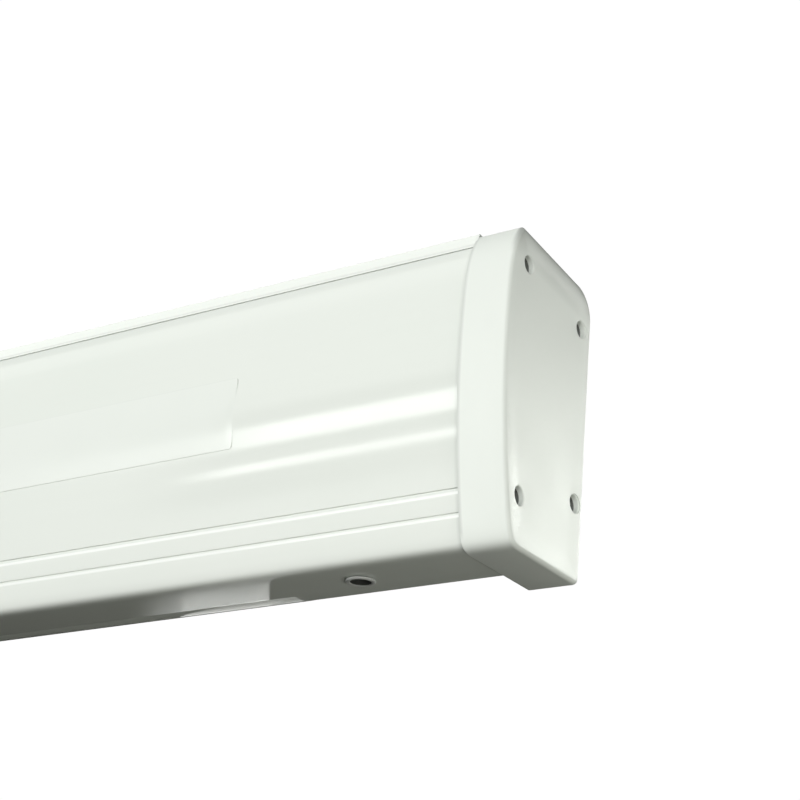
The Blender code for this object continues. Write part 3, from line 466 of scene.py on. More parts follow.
def threaded(r, h0, h1, pitch, depth, axis="Z", centre=(0.0, 0.0, 0.0), steps=28, tip=1.0):
    """A threaded stud: a ridge that climbs by pitch each turn, run out at both ends."""
    rows = max(8, int(round((h1 - h0) / pitch * 8)))
    matrix = Matrix.Translation(Vector(centre) * MM) @ AXES[axis]
    rings = []
    for k in range(rows + 1):
        h = h0 + (h1 - h0) * k / rows
        fade = min(1.0, (h - h0) / pitch, (h1 - h) / pitch)
        ring = []
        for i in range(steps):
            phase = (h / pitch - i / steps) % 1.0
            tooth = abs(2 * phase - 1)
            radius = r - depth * (1 - tooth) * fade - (tip * max(0.0, 1 - (h1 - h) / tip) * 0.6 if tip else 0.0)
            a = math.tau * i / steps
            ring.append(matrix @ Vector((radius * MM * math.cos(a), radius * MM * math.sin(a), h * MM)))
        rings.append(ring)
    return lofted(rings)


def set_look(obj, *looks, smooth=34.0):
    obj.data.materials.clear()
    for look in looks:
        obj.data.materials.append(look)
    obj.data.shade_smooth()
    obj.data.set_sharp_from_angle(angle=math.radians(smooth))


def piece(name, mesh, look, nodes=None, smooth=34.0):
    """Shows mesh, drawn in section coordinates, in place of the CAD node of that name."""
    mesh.transform(Matrix.Translation(SHIFT))
    mesh.name = name
    obj = bpy.data.objects.new(name + "_finished", mesh)
    scene.collection.objects.link(obj)
    set_look(obj, look, smooth=smooth)
    nodes = nodes or [name]
    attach(obj, BODY_OF[nodes[0]])
    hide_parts(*nodes)
    return obj

# ---- materials --------------------------------------------------------------------------
class Look:
    """A procedural material under construction: a Principled shader and helpers that add nodes to it."""

    def __init__(self, name, colour, roughness, metallic=0.0, **sockets):
        self.made = bpy.data.materials.new(name)
        self.made.use_nodes = True
        self.tree = self.made.node_tree
        self.shader = self.tree.nodes["Principled BSDF"]
        self.made.diffuse_color = (*colour, 1.0)
        self.shader.inputs["Metallic"].default_value = metallic
        self.shader.inputs["Roughness"].default_value = roughness
        self.shader.inputs["Base Color"].default_value = (*colour, 1.0)
        for socket, value in sockets.items():
            self.shader.inputs[socket.replace("_", " ")].default_value = value
        self.colour, self.roughness = colour, roughness
        self.coords = self.tree.nodes.new("ShaderNodeTexCoord")
        self.normal = None
        apart = self.tree.nodes.new("ShaderNodeSeparateXYZ")
        self.tree.links.new(self.coords.outputs["Object"], apart.inputs["Vector"])
        self.split = apart.outputs

    def link(self, a, b):
        self.tree.links.new(a, b)
        return b

    def at(self, scale=(1, 1, 1), turn=(0, 0, 0), source="Object"):
        node = self.tree.nodes.new("ShaderNodeMapping")
        node.inputs["Scale"].default_value = scale
        node.inputs["Rotation"].default_value = turn
        self.link(self.coords.outputs[source], node.inputs["Vector"])
        return node.outputs["Vector"]

    def noise(self, scale, detail=2.0, rough=0.5, where=None, distortion=0.0):
        node = self.tree.nodes.new("ShaderNodeTexNoise")
        node.inputs["Scale"].default_value = scale
        node.inputs["Detail"].default_value = detail
        node.inputs["Roughness"].default_value = rough
        node.inputs["Distortion"].default_value = distortion
        self.link(where if where is not None else self.coords.outputs["Object"], node.inputs["Vector"])
        return node.outputs["Fac"]

    def cells(self, scale, where=None, feature="F1", output="Distance"):
        node = self.tree.nodes.new("ShaderNodeTexVoronoi")
        node.feature = feature
        node.inputs["Scale"].default_value = scale
        self.link(where if where is not None else self.coords.outputs["Object"], node.inputs["Vector"])
        return node.outputs[output]

    def ranged(self, value, low, high, to_low, to_high):
        node = self.tree.nodes.new("ShaderNodeMapRange")
        node.inputs["From Min"].default_value = low
        node.inputs["From Max"].default_value = high
        node.inputs["To Min"].default_value = to_low
        node.inputs["To Max"].default_value = to_high
        self.link(value, node.inputs["Value"])
        return node.outputs["Result"]

    def mixed(self, factor, a, b):
        node = self.tree.nodes.new("ShaderNodeMix")
        node.data_type = "RGBA"
        self.link(factor, node.inputs[0])
        for socket, colour in ((node.inputs[6], a), (node.inputs[7], b)):
            if isinstance(colour, bpy.types.NodeSocket):
                self.link(colour, socket)
            else:
                socket.default_value = (*colour, 1.0)
        return node.outputs[2]

    def maths(self, operation, a, b=0.0, clamp=False):
        node = self.tree.nodes.new("ShaderNodeMath")
        node.operation, node.use_clamp = operation, clamp
        for socket, value in zip(node.inputs, (a, b)):
            if isinstance(value, bpy.types.NodeSocket):
                self.link(value, socket)
            else:
                socket.default_value = value
        return node.outputs[0]

    def bump(self, height, distance, strength=1.0):
        node = self.tree.nodes.new("ShaderNodeBump")
        node.inputs["Strength"].default_value = strength
        node.inputs["Distance"].default_value = distance
        self.link(height, node.inputs["Height"])
        if self.normal is not None:
            self.link(self.normal, node.inputs["Normal"])
        self.normal = node.outputs["Normal"]

    def near_cap(self, none_at, all_at):
        """A mask that rises with the distance from the middle of the case, from nothing at the first distance to full
        at the second; it places painted shade near the caps.
        """
        return self.ranged(self.maths("ABSOLUTE", self.split["X"]), none_at, all_at, 0.0, 1.0)

    def tinted(self, amount, scale, detail=3.0, where=None, cast=(1.0, 1.0, 1.0)):
        """Base colour that wanders by amount about the look's own colour, with the dark side cast a little."""
        low = tuple(max(0.0, c * (1 - amount) * k) for c, k in zip(self.colour, cast))
        high = tuple(min(1.0, c * (1 + amount * 0.6)) for c in self.colour)
        out = self.mixed(self.ranged(self.noise(scale, detail, 0.55, where), 0.3, 0.7, 0.0, 1.0), low, high)
        self.link(out, self.shader.inputs["Base Color"])
        return out

    def worn(self, spread, scale, detail=3.0, where=None):
        """Roughness that wanders by spread about the look's own."""
        value = self.ranged(self.noise(scale, detail, 0.6, where), 0.3, 0.7, self.roughness - spread, self.roughness + spread)
        self.link(value, self.shader.inputs["Roughness"])

    def done(self):
        if self.normal is not None:
            self.link(self.normal, self.shader.inputs["Normal"])
        return self.made


def case_paint():
    """White powder coat on an extrusion: faint orange peel, fainter lines along the profile, a little dust, painted
    shade where the case meets the caps and a painted highlight along each groove.
    """
    look = Look("case_white_paint", (0.795, 0.832, 0.777), 0.055, IOR=1.5)
    along = look.at((3.0, 260.0, 260.0))
    base = look.mixed(look.ranged(look.noise(7.0, 3.0, 0.5), 0.3, 0.7, 0.0, 1.0), (0.783, 0.824, 0.765), (0.805, 0.838, 0.785))
    streaks = look.ranged(look.noise(1.0, 4.0, 0.6, along), 0.35, 0.75, 0.0, 0.22)
    base = look.mixed(streaks, base, (0.772, 0.808, 0.752))
    dust = look.ranged(look.cells(620.0), 0.0, 0.045, 0.35, 0.0)
    base = look.mixed(dust, base, (0.70, 0.73, 0.68))
    # Painted shade: a thin darker band on the case where it runs into each cap's rim.
    base = look.mixed(look.near_cap(0.8754, 0.8766), base, (0.66, 0.69, 0.645))
    up = look.split["Z"]
    # Painted highlight: a lighter band along the lower face of each groove on the front.
    painted_groove_highlights = [look.ranged(look.maths("ABSOLUTE", look.maths("SUBTRACT", up, at)), 0.00062, 0.00025, 0.0, share) for at, share in ((-0.03375, 0.9), (-0.0403, 0.62))]
    front_only = look.ranged(look.split["Y"], -0.034, -0.036, 0.0, 1.0)
    base = look.mixed(look.maths("MULTIPLY", look.maths("MAXIMUM", *painted_groove_highlights), front_only), base, (0.955, 0.975, 0.94))
    look.link(base, look.shader.inputs["Base Color"])
    look.worn(0.015, 24.0)
    look.bump(look.noise(780.0, 2.0, 0.45), 0.000035, 0.06)
    look.bump(look.noise(1.0, 3.0, 0.5, along), 0.00006, 0.02)
    return look.done()


def cap_plastic(name="cap_white_plastic", colour=(0.80, 0.838, 0.785)):
    """Moulded white plastic with a fine eroded grain and slow flow shading, with painted shade on the rim's inner edge
    and towards the end plate's top edge.
    """
    look = Look(name, colour, 0.36, IOR=1.48)
    flow = look.noise(16.0, 3.0, 0.5, look.at((2.0, 1.0, 0.6)), 0.6)
    low = tuple(c * 0.975 for c in colour)
    base = look.mixed(look.ranged(flow, 0.3, 0.7, 0.0, 1.0), low, tuple(min(1, c * 1.012) for c in colour))
    base = look.mixed(look.ranged(look.cells(900.0), 0.0, 0.05, 0.25, 0.0), base, tuple(c * 0.9 for c in colour))
    # Painted shade on the inner edge of each cap's rim, faded out near the bottom.
    painted_rim_shade = look.maths("MULTIPLY", look.near_cap(0.8784, 0.8775), look.ranged(look.split["Z"], -0.0475, -0.0455, 0.0, 1.0))
    base = look.mixed(painted_rim_shade, base, tuple(c * 0.80 for c in colour))
    # Painted shade: the end plate and its top fillet darker towards the top edge.
    painted_top_shade = look.maths("MULTIPLY", look.near_cap(0.8908, 0.8918), look.maths("POWER", look.ranged(look.split["Z"], 0.0385, 0.0500, 0.0, 1.0), 1.1))
    base = look.mixed(painted_top_shade, base, tuple(c * 0.50 for c in colour))
    look.link(base, look.shader.inputs["Base Color"])
    look.worn(0.04, 90.0)
    look.bump(look.noise(2600.0, 2.0, 0.6), 0.00002, 0.12)
    look.bump(look.noise(420.0, 2.0, 0.4), 0.00003, 0.05)
    return look.done()


def moulded(name, colour, roughness, grain=2600.0, strength=0.22):
    look = Look(name, colour, roughness, IOR=1.47)
    look.tinted(0.10, 60.0)
    look.worn(0.06, 140.0)
    look.bump(look.noise(grain, 3.0, 0.6), 0.00003, strength)
    return look.done()


def plated(name, colour, roughness, spangle=170.0):
    """Bright zinc on sheet steel: soft spangle, rolling lines and dull spots."""
    look = Look(name, colour, roughness, metallic=1.0)
    grains = look.cells(spangle, output="Color")
    grey = look.tree.nodes.new("ShaderNodeSeparateColor")
    look.link(grains, grey.inputs["Color"])
    shade = look.ranged(grey.outputs["Red"], 0.0, 1.0, 0.0, 1.0)
    base = look.mixed(shade, tuple(c * 0.86 for c in colour), tuple(min(1, c * 1.08) for c in colour))
    spots = look.ranged(look.noise(220.0, 4.0, 0.7), 0.62, 0.76, 0.0, 0.5)
    base = look.mixed(spots, base, tuple(c * 0.62 for c in colour))
    look.link(base, look.shader.inputs["Base Color"])
    lines = look.noise(1.0, 3.0, 0.6, look.at((60.0, 60.0, 1800.0)))
    rough = look.maths("ADD", look.ranged(lines, 0.3, 0.7, roughness - 0.06, roughness + 0.05), look.ranged(grey.outputs["Green"], 0, 1, -0.04, 0.05))
    look.link(rough, look.shader.inputs["Roughness"])
    look.bump(lines, 0.00002, 0.12)
    return look.done()


def bright(name="bright_plated_steel", colour=(0.66, 0.665, 0.67), roughness=0.24, stretch=(1500.0, 300.0, 300.0)):
    """Turned and plated steel, with its tool marks."""
    look = Look(name, colour, roughness, metallic=1.0)
    marks = look.noise(1.0, 4.0, 0.6, look.at(stretch))
    base = look.mixed(look.ranged(marks, 0.3, 0.75, 0.0, 1.0), tuple(c * 0.84 for c in colour), tuple(min(1, c * 1.06) for c in colour))
    look.link(base, look.shader.inputs["Base Color"])
    look.worn(0.07, 300.0)
    look.bump(marks, 0.00002, 0.15)
    return look.done()


def drawn_aluminium():
    return bright("drawn_aluminium", (0.74, 0.745, 0.75), 0.33, (6.0, 1400.0, 1400.0))


def circuit_board():
    """Solder mask over copper tracks that run along and across, with tinned pads."""
    look = Look("circuit_board", (0.03, 0.17, 0.07), 0.35, IOR=1.5)
    long_tracks = look.noise(1.0, 0.0, 0.5, look.at((40.0, 900.0, 1.0)))
    cross_tracks = look.noise(1.0, 0.0, 0.5, look.at((500.0, 60.0, 1.0)))
    tracks = look.maths("MAXIMUM", look.ranged(long_tracks, 0.55, 0.57, 0.0, 1.0), look.ranged(cross_tracks, 0.60, 0.62, 0.0, 1.0))
    base = look.mixed(tracks, (0.02, 0.13, 0.05), (0.05, 0.26, 0.10))
    pads = look.ranged(look.cells(330.0), 0.16, 0.18, 1.0, 0.0)
    base = look.mixed(pads, base, (0.72, 0.71, 0.68))
    look.link(base, look.shader.inputs["Base Color"])
    look.link(look.ranged(pads, 0.0, 1.0, 0.35, 0.22), look.shader.inputs["Roughness"])
    look.bump(tracks, 0.00003, 0.6)
    return look.done()


def label_film():
    """A blank label: clear satin film over the paint, with air caught in spots and a thin line of painted shade along
    its edge.
    """
    look = Look("label_film", (0.800, 0.838, 0.784), 0.10, IOR=1.5)
    base = look.mixed(look.ranged(look.noise(30.0, 2.0), 0.3, 0.7, 0.0, 1.0), (0.794, 0.832, 0.778), (0.808, 0.844, 0.792))
    base = look.mixed(look.ranged(look.cells(260.0), 0.0, 0.05, 0.3, 0.0), base, (0.84, 0.865, 0.83))
    off = []
    for axis, ends in (("X", (station(LABEL_S[1]), station(LABEL_S[0]))), ("Z", (LABEL_Z[0] - CAP_HEIGHT / 2, LABEL_Z[1] - CAP_HEIGHT / 2))):
        from_middle = look.maths("ABSOLUTE", look.maths("SUBTRACT", look.split[axis], sum(ends) / 2 * MM), 0.0)
        off.append(look.maths("SUBTRACT", from_middle, (ends[1] - ends[0]) / 2 * MM))
    # Painted shade: a thin darker line just inside the label's border.
    edge = look.ranged(look.maths("MAXIMUM", *off), -0.00045, -0.00025, 0.0, 0.14)
    base = look.mixed(edge, base, (0.62, 0.655, 0.61))
    look.link(base, look.shader.inputs["Base Color"])
    look.worn(0.03, 60.0)
    look.bump(look.noise(160.0, 2.0, 0.4), 0.00004, 0.06)
    return look.done()


def screen_face(name, painted):
    """Coated screen cloth with a fine weave. Where painted, the UV's v is the distance below the roller in metres and u the
    distance from the middle, and the borders and the leader are black; otherwise the cloth is the black back side."""
    white, black = (0.84, 0.845, 0.84), (0.012, 0.012, 0.013)
    look = Look(name, white if painted else black, 0.82, Sheen_Weight=0.15, Sheen_Roughness=0.6)
    weave_at = look.at((2400.0, 2400.0, 2400.0), source="UV")
    warp = look.tree.nodes.new("ShaderNodeTexWave")
    warp.wave_type, warp.bands_direction = "BANDS", "X"
    weft = look.tree.nodes.new("ShaderNodeTexWave")
    weft.wave_type, weft.bands_direction = "BANDS", "Y"
    for wave in (warp, weft):
        wave.inputs["Scale"].default_value = 0.32
        wave.inputs["Distortion"].default_value = 0.6
        wave.inputs["Detail"].default_value = 1.0
        look.link(weave_at, wave.inputs["Vector"])
    weave = look.maths("MULTIPLY", warp.outputs["Fac"], weft.outputs["Fac"])
    cloud = look.noise(5.0, 4.0, 0.5, look.at(source="UV"))
    pale = look.mixed(look.ranged(cloud, 0.3, 0.7, 0.0, 1.0), (0.836, 0.841, 0.832), (0.848, 0.853, 0.846))
    dark = look.mixed(look.ranged(cloud, 0.3, 0.7, 0.0, 1.0), (0.012, 0.012, 0.013), (0.0165, 0.0165, 0.0175))
    if painted:
        split = look.tree.nodes.new("ShaderNodeSeparateXYZ")
        look.link(look.coords.outputs["UV"], split.inputs["Vector"])
        u, v = look.maths("ABSOLUTE", split.outputs["X"]), split.outputs["Y"]
        inside_width = look.ranged(u, SCREEN_HALF_WIDTH, SCREEN_HALF_WIDTH + 0.0006, 1.0, 0.0)
        below_leader = look.ranged(v, SCREEN_TOP, SCREEN_TOP + 0.0006, 0.0, 1.0)
        above_border = look.ranged(v, SCREEN_BOTTOM, SCREEN_BOTTOM + 0.0006, 1.0, 0.0)
        face = look.maths("MULTIPLY", look.maths("MULTIPLY", inside_width, below_leader), above_border)
        base = look.mixed(face, dark, pale)
    else:
        base = dark
    shade = look.ranged(weave, 0.0, 1.0, 0.0, 0.10)
    base = look.mixed(shade, base, (0.45, 0.45, 0.45) if painted else (0.05, 0.05, 0.05))
    look.link(base, look.shader.inputs["Base Color"])
    look.worn(0.05, 40.0)
    look.bump(weave, 0.00008, 0.35)
    return look.done()


TRAVEL = 1.05
DROP_AT_REST = 0.0412
DEPLOYED = DROP_AT_REST + TRAVEL
SCREEN_TOP, SCREEN_BOTTOM, SCREEN_HALF_WIDTH = 0.185, DEPLOYED - 0.040, 0.770

PAINT, CAP = case_paint(), cap_plastic()
ZINC, BRIGHT, ALUMINIUM = plated("bright_zinc_sheet", (0.60, 0.61, 0.62), 0.34), bright(), drawn_aluminium()
BLACK = moulded("black_plastic", (0.022, 0.022, 0.024), 0.46)
GREY = moulded("grey_plastic", (0.56, 0.575, 0.555), 0.42)
GLAND = moulded("gland_grey_plastic", (0.42, 0.43, 0.43), 0.45)
YELLOW = moulded("yellow_plastic", (0.78, 0.58, 0.04), 0.42)
BLACKENED = bright("blackened_steel", (0.07, 0.07, 0.075), 0.38, (300.0, 1500.0, 300.0))
RECESS = moulded("recess_shadow_plastic", (0.20, 0.21, 0.195), 0.5)
BORE = moulded("grommet_bore_shadow_grey", (0.045, 0.048, 0.044), 0.6)
MOTOR = bright("black_motor_tube", (0.045, 0.045, 0.05), 0.36, (4.0, 900.0, 900.0))
BOARD, FILM = circuit_board(), label_film()
CLOTH_FRONT, CLOTH_BACK = screen_face("screen_cloth_front", True), screen_face("screen_cloth_back", False)

# ---- case profiles ----------------------------------------------------------------------
profile_end = HALF - BOSS_END_S - 0.3
FOOT_Z = (50.0, 76.0)
broken = ((-profile_end, 0), (profile_end, 0))
top_back = swept(top_and_back_outline(), broken)
back_holes = [
    turned([(0, 1.0), (5.2, 1.0), (1.8, -2.4), (1.8, -8.0), (0, -8.0)], 32, "Y", (side * (HALF - 52.0), 0, z))
    for side in (1, -1)
    for z in FOOT_Z
]
trims = [
    block(side * (HALF - CAP_WIDTH - 0.3), side * (HALF + 5), -50, UPSTAND_BACK_Y + 1.0, CAP_HEIGHT - SKIN + 0.05, 104)
    for side in (1, -1)
]
piece("top_and_back_profile", cut(top_back, *back_holes, *trims), PAINT, smooth=24)

front = swept(front_cover_outline(), broken)
slot_half = HALF - SLOT_END_S
notch = block(-slot_half, slot_half, SLOT_FRONT_Y, LIP_END_Y + 6, -3, 8)
HOLE_AT = Vector((station(ADJUSTER_S), AXIS_Y, under_z(AXIS_Y, SKIN))) * MM
UNDER_TILT = Matrix.Rotation(math.atan(UNDER_SLOPE), 4, "X")


def on_underside(mesh):
    """Moves a shape drawn about the origin, with the case above it, to the hole in the underside."""
    mesh.transform(Matrix.Translation(HOLE_AT) @ UNDER_TILT)
    return mesh


piece("front_cover_profile", cut(front, notch, on_underside(rod(ACCESS_RADIUS, -4, 6, "Z", steps=64))), PAINT, smooth=24)
grommet = turned(
    softened(
        [
            (3.2, LIP_WALL + 1.1),
            (4.3, LIP_WALL + 0.9),
            (4.3, LIP_WALL + 0.3),
            (ACCESS_RADIUS - 0.3, LIP_WALL + 0.3),
            (ACCESS_RADIUS - 0.3, -0.3),
            (4.6, -0.3),
            (4.6, -0.62),
            (4.25, -0.95),
            (3.55, -1.0),
            (3.2, -0.7),
        ],
        0.18,
    ),
    64,
    "Z",
)
bore_faces = [
    face.index for face in grommet.polygons if math.hypot(face.center.x, face.center.y) < 3.3 * MM and face.center.z > -0.75 * MM
]
ring = piece("access_hole_grommet", on_underside(grommet), GREY)
ring.data.materials.append(BORE)
for face in bore_faces:
    ring.data.polygons[face].material_index = 1

# ---- end caps ---------------------------------------------------------------------------
FACE_BORDER = 7.0
FACE_DISH = 0.28


def cap_ring(d, corner=0.45, steps=4):
    """The caps' outline d inside itself, with its top front corner rounded."""
    return filleted(inset(cap_outline(), d), max(corner - d * 0.3, 0.12), steps=steps, only=(0,))


def face_set_back(y, z, edge):
    """How far the end face lies inside its rim at a point edge millimetres from it: a shallow dish, and a soft sink round the screws."""
    t = min(1.0, max(0.0, edge / FACE_BORDER))
    depth = FACE_DISH * t * t * (3 - 2 * t)
    for py, pz in PORTS.values():
        depth += 0.10 * math.exp(-((y - py) ** 2 + (z - pz) ** 2) / (2 * 4.4**2)) * t
    return depth


def cap_shell():
    e, w = CAP_EDGE, CAP_WIDTH
    stops = [(HALF - CAP_PLATE, CAP_RIM), (HALF - w + 0.25, CAP_RIM), (HALF - w + 0.06, CAP_RIM - 0.07), (HALF - w, CAP_RIM - 0.25)]
    stops += [(HALF - w, 0.5), (HALF - w + 0.04, 0.31), (HALF - w + 0.146, 0.146), (HALF - w + 0.31, 0.04)]
    stops += [(HALF - w + 0.5, 0.0), (HALF - e - 0.01, 0.0)]
    stops += [(HALF - e + e * math.sin(math.pi / 2 * k / 8), e * (1 - math.cos(math.pi / 2 * k / 8))) for k in range(1, 9)]
    shape = bmesh.new()
    rings = []
    for h, d in stops:
        rings.append([shape.verts.new(Vector((h, y, z)) * MM) for y, z in cap_ring(d)])
    for a, b in zip(rings, rings[1:]):
        for i in range(len(a)):
            j = (i + 1) % len(a)
            shape.faces.new((a[i], a[j], b[j], b[i]))
    inner = shape.faces.new(list(reversed(rings[0])))
    bmesh.ops.triangulate(shape, faces=[inner])
    border = [Vector(p) for p in cap_ring(e)]
    edges = [(border[i], border[(i + 1) % len(border)]) for i in range(len(border))]
    seg_a = np.array([tuple(a) for a, b in edges])
    seg_d = np.array([tuple(b - a) for a, b in edges])
    seg_l = (seg_d**2).sum(1)

    def to_edge(y, z):
        q = np.array((y, z)) - seg_a
        t = np.clip((q * seg_d).sum(1) / seg_l, 0, 1)
        return float(np.sqrt(((q - seg_d * t[:, None]) ** 2).sum(1)).min())

    def inside(y, z):
        hit = False
        for a, b in edges:
            if (a.y > z) != (b.y > z) and y < (b.x - a.x) * (z - a.y) / (b.y - a.y) + a.x:
                hit = not hit
        return hit

    points = list(border)
    pitch = 1.5
    for row in range(int(100 / (pitch * 0.866)) + 1):
        z = 0.4 + row * pitch * 0.866
        for col in range(int(54 / pitch) + 1):
            y = -53.0 + (col + 0.5 * (row % 2)) * pitch
            if inside(y, z) and to_edge(y, z) > 0.55:
                points.append(Vector((y, z)))
    ring_index = list(range(len(border)))
    verts, _, faces, _, _, _ = delaunay_2d_cdt([Vector((p.x, p.y)) for p in points], [], [ring_index], 1, 1e-6)
    new = []
    for v in verts:
        new.append(shape.verts.new(Vector((HALF - face_set_back(v.x, v.y, to_edge(v.x, v.y)), v.x, v.y)) * MM))
    for f in faces:
        shape.faces.new([new[i] for i in f])
    return mesh_of(shape, 3e-6)


def recess_cutter(y, z):
    """A screw recess with a small flare at its mouth and a rounded floor."""
    top = HALF - face_set_back(y, z, 9.0)
    r, f = RECESS_RADIUS, 0.38
    profile = [(0, HALF + 3), (r + f + 0.02, HALF + 3), (r + f + 0.02, top + 0.01)]
    profile += [(r + f - f * math.sin(a), top - f + f * math.cos(a)) for a in (math.pi / 2 * k / 5 for k in range(1, 6))]
    profile += [(r, HALF - RECESS_SHADE), (r, HALF - RECESS_DEPTH + 0.5), (r - 0.15, HALF - RECESS_DEPTH + 0.14), (r - 0.5, HALF - RECESS_DEPTH)]
    return turned(profile + [(1.8, HALF - RECESS_DEPTH), (1.8, HALF - 12), (0, HALF - 12)], 44, "X", (0, y, z))


def cap_mesh():
    within = prism(inset(cap_outline(), 0.4), HALF - CAP_WIDTH, HALF)
    bosses = [
        joined(rod(BOSS_RADIUS, HALF - BOSS_END_S, HALF - 1.8, "X", (0, y, z), steps=36), "INTERSECT", within.copy())
        for y, z in PORTS.values()
    ]
    return cut(fused(cap_shell(), *bosses), *[recess_cutter(y, z) for y, z in PORTS.values()])


GLAND_Y, GLAND_Z = -26.0, 34.0
right_cap = cap_mesh()
left_cap = cut(mirrored(right_cap), rod(6.4, -HALF - 5, -HALF + 12, "X", (0, GLAND_Y, GLAND_Z), steps=56))
for cap in (piece("end_cap_right", right_cap, CAP, smooth=30), piece("end_cap_left", left_cap, CAP, smooth=30)):
    cap.data.materials.append(RECESS)
    centres = [(Vector((0, y, z)) * MM + SHIFT).yz for y, z in PORTS.values()]
    for face in cap.data.polygons:
        if (HALF - 7.5) * MM < abs(face.center.x) < (HALF - RECESS_SHADE - 0.02) * MM:
            if min((face.center.yz - centre).length for centre in centres) < (RECESS_RADIUS + 0.02) * MM:
                face.material_index = 1


def cap_screw_mesh():
    """A pan-head screw with a tapered cross recess and a thread, lying along X with its head towards +X."""
    seat = HALF - RECESS_DEPTH + 0.3
    head = turned(
        softened([(0, seat + 2.1), (1.5, seat + 2.0), (2.4, seat + 1.5), (SCREW_HEAD_RADIUS, seat + 0.7), (SCREW_HEAD_RADIUS, seat), (1.2, seat), (1.2, seat - 2.0), (0, seat - 2.0)], 0.25, 15, 2),
        32,
    )
    thread = threaded(1.35, seat - 16.6, seat - 1.0, 1.4, 0.28, "X", steps=20, tip=1.6)
    arms = []
    for turn in (0.0, math.pi / 2):
        arm = lofted(
            [
                [Vector((h, y * w, z * t)) * MM for y, z in ((1, 1), (-1, 1), (-1, -1), (1, -1))]
                for h, w, t in ((seat + 0.7, 0.9, 0.24), (seat + 3.0, 1.95, 0.42))
            ]
        )
        arm.transform(Matrix.Rotation(turn, 4, "X"))
        arms.append(arm)
    return fused(cut(head, *arms), thread)


screw = cap_screw_mesh()
for side, shape_at in (("right", screw), ("left", mirrored(screw))):
    for where, (y, z) in PORTS.items():
        piece(f"cap_screw_{side}_{where}", moved(shape_at, 0, y, z), BLACKENED)

# ---- cable gland in the left cap ---------------------------------------------------------
gland = (0, GLAND_Y, GLAND_Z)
hexagon = [(9.0 * math.cos(math.radians(30 + 60 * i)) + GLAND_Y, 9.0 * math.sin(math.radians(30 + 60 * i)) + GLAND_Z) for i in range(6)]
hexagon = filleted(hexagon, 0.8, 30, 4)
flange = swept(hexagon, ((-HALF - 4.3, 0.35), (-HALF - 3.95, 0), (-HALF - 0.5, 0), (-HALF - 0.3, 0.2)))
spigot = turned(softened([(0, -HALF + 9.0), (6.0, -HALF + 9.0), (6.0, -HALF - 10.5), (0, -HALF - 10.5)], 0.4), 48, "X", gland)
gland_bore = rod(3.4, -HALF - 20, -HALF + 20, "X", gland, steps=40)
piece("cable_gland_body", cut(fused(flange, spigot), gland_bore), GLAND)
nut_profile = [(6.4, -HALF - 4.6), (8.1, -HALF - 4.6), (8.1, -HALF - 10.5), (7.5, -HALF - 13.4), (5.4, -HALF - 15.6), (3.8, -HALF - 16.0), (3.8, -HALF - 11.0), (6.4, -HALF - 11.0)]
nut_body = turned(softened(nut_profile, 0.35), 72, "X", gland)
flutes = []
for i in range(18):
    flute = rod(0.34, -HALF - 10.8, -HALF - 4.2, "X", (0, 8.32, 0), steps=10)
    flute.transform(Matrix.Translation(Vector(gland) * MM) @ Matrix.Rotation(math.tau * i / 18, 4, "X"))
    flutes.append(flute)
piece("cable_gland_dome_nut", cut(nut_body, *flutes), GLAND)
lock = swept(hexagon, ((-HALF + 2.8, 0.3), (-HALF + 3.1, 0), (-HALF + 6.5, 0), (-HALF + 6.8, 0.3)))
piece("cable_gland_lock_nut", cut(lock, rod(6.3, -HALF - 5, -HALF + 15, "X", gland, steps=44)), GLAND)

# ---- bearing brackets -------------------------------------------------------------------
BRACKET_PLATE_S = (38.0, 40.5)


def bearing_bracket(hole):
    back = -SKIN - WALL - 0.3
    s0, s1 = BRACKET_PLATE_S
    plate = swept(rounded_rect(-45.0, back, 40.0, 82.0, 3.0), ((HALF - s1, 0.2), (HALF - s1 + 0.2, 0), (HALF - s0 - 0.2, 0), (HALF - s0, 0.2)))
    foot = block(HALF - 64.0, HALF - s0 - 1.0, back - 2.5, back, 42.0, 80.0, 0.25, 2)
    bend = rod(2.5, 42.0, 80.0, "Z", (HALF - s1 - 0.6, back - 2.6, 0), steps=32)
    holes = [rod(1.45, -12, 2, "Y", (HALF - 52.0, 0, z), steps=32) for z in FOOT_Z]
    rib = block(HALF - 58.0, HALF - s1 + 0.5, back - 5.0, back - 2.0, 61.0, 64.5, 0.6, 2)
    return cut(fused(plate, foot, rib), hole, *holes)


square = 5.3
piece("motor_bracket", bearing_bracket(block(HALF - 60, HALF - 30, AXIS_Y - square, AXIS_Y + square, AXIS_Z - square, AXIS_Z + square)), ZINC)
piece("idler_bracket", mirrored(bearing_bracket(rod(7.3, HALF - 60, HALF - 30, "X", AXIS))), ZINC)
foot_screw = turned([(0, -0.15), (2.25, -0.15), (2.43, -0.22), (1.15, -1.43), (1.15, -5.6), (0, -6.4)], 32, "Y")
foot_screw = cut(foot_screw, block(-1.7, 1.7, -0.75, 0.5, -0.28, 0.28), block(-0.28, 0.28, -0.75, 0.5, -1.7, 1.7))
for side, sign in (("right", 1), ("left", -1)):
    for label, z in zip(("lower", "upper"), FOOT_Z):
        piece(f"bracket_screw_{side}_{label}", moved(foot_screw, sign * (HALF - 52.0), -SKIN, z), BRIGHT)

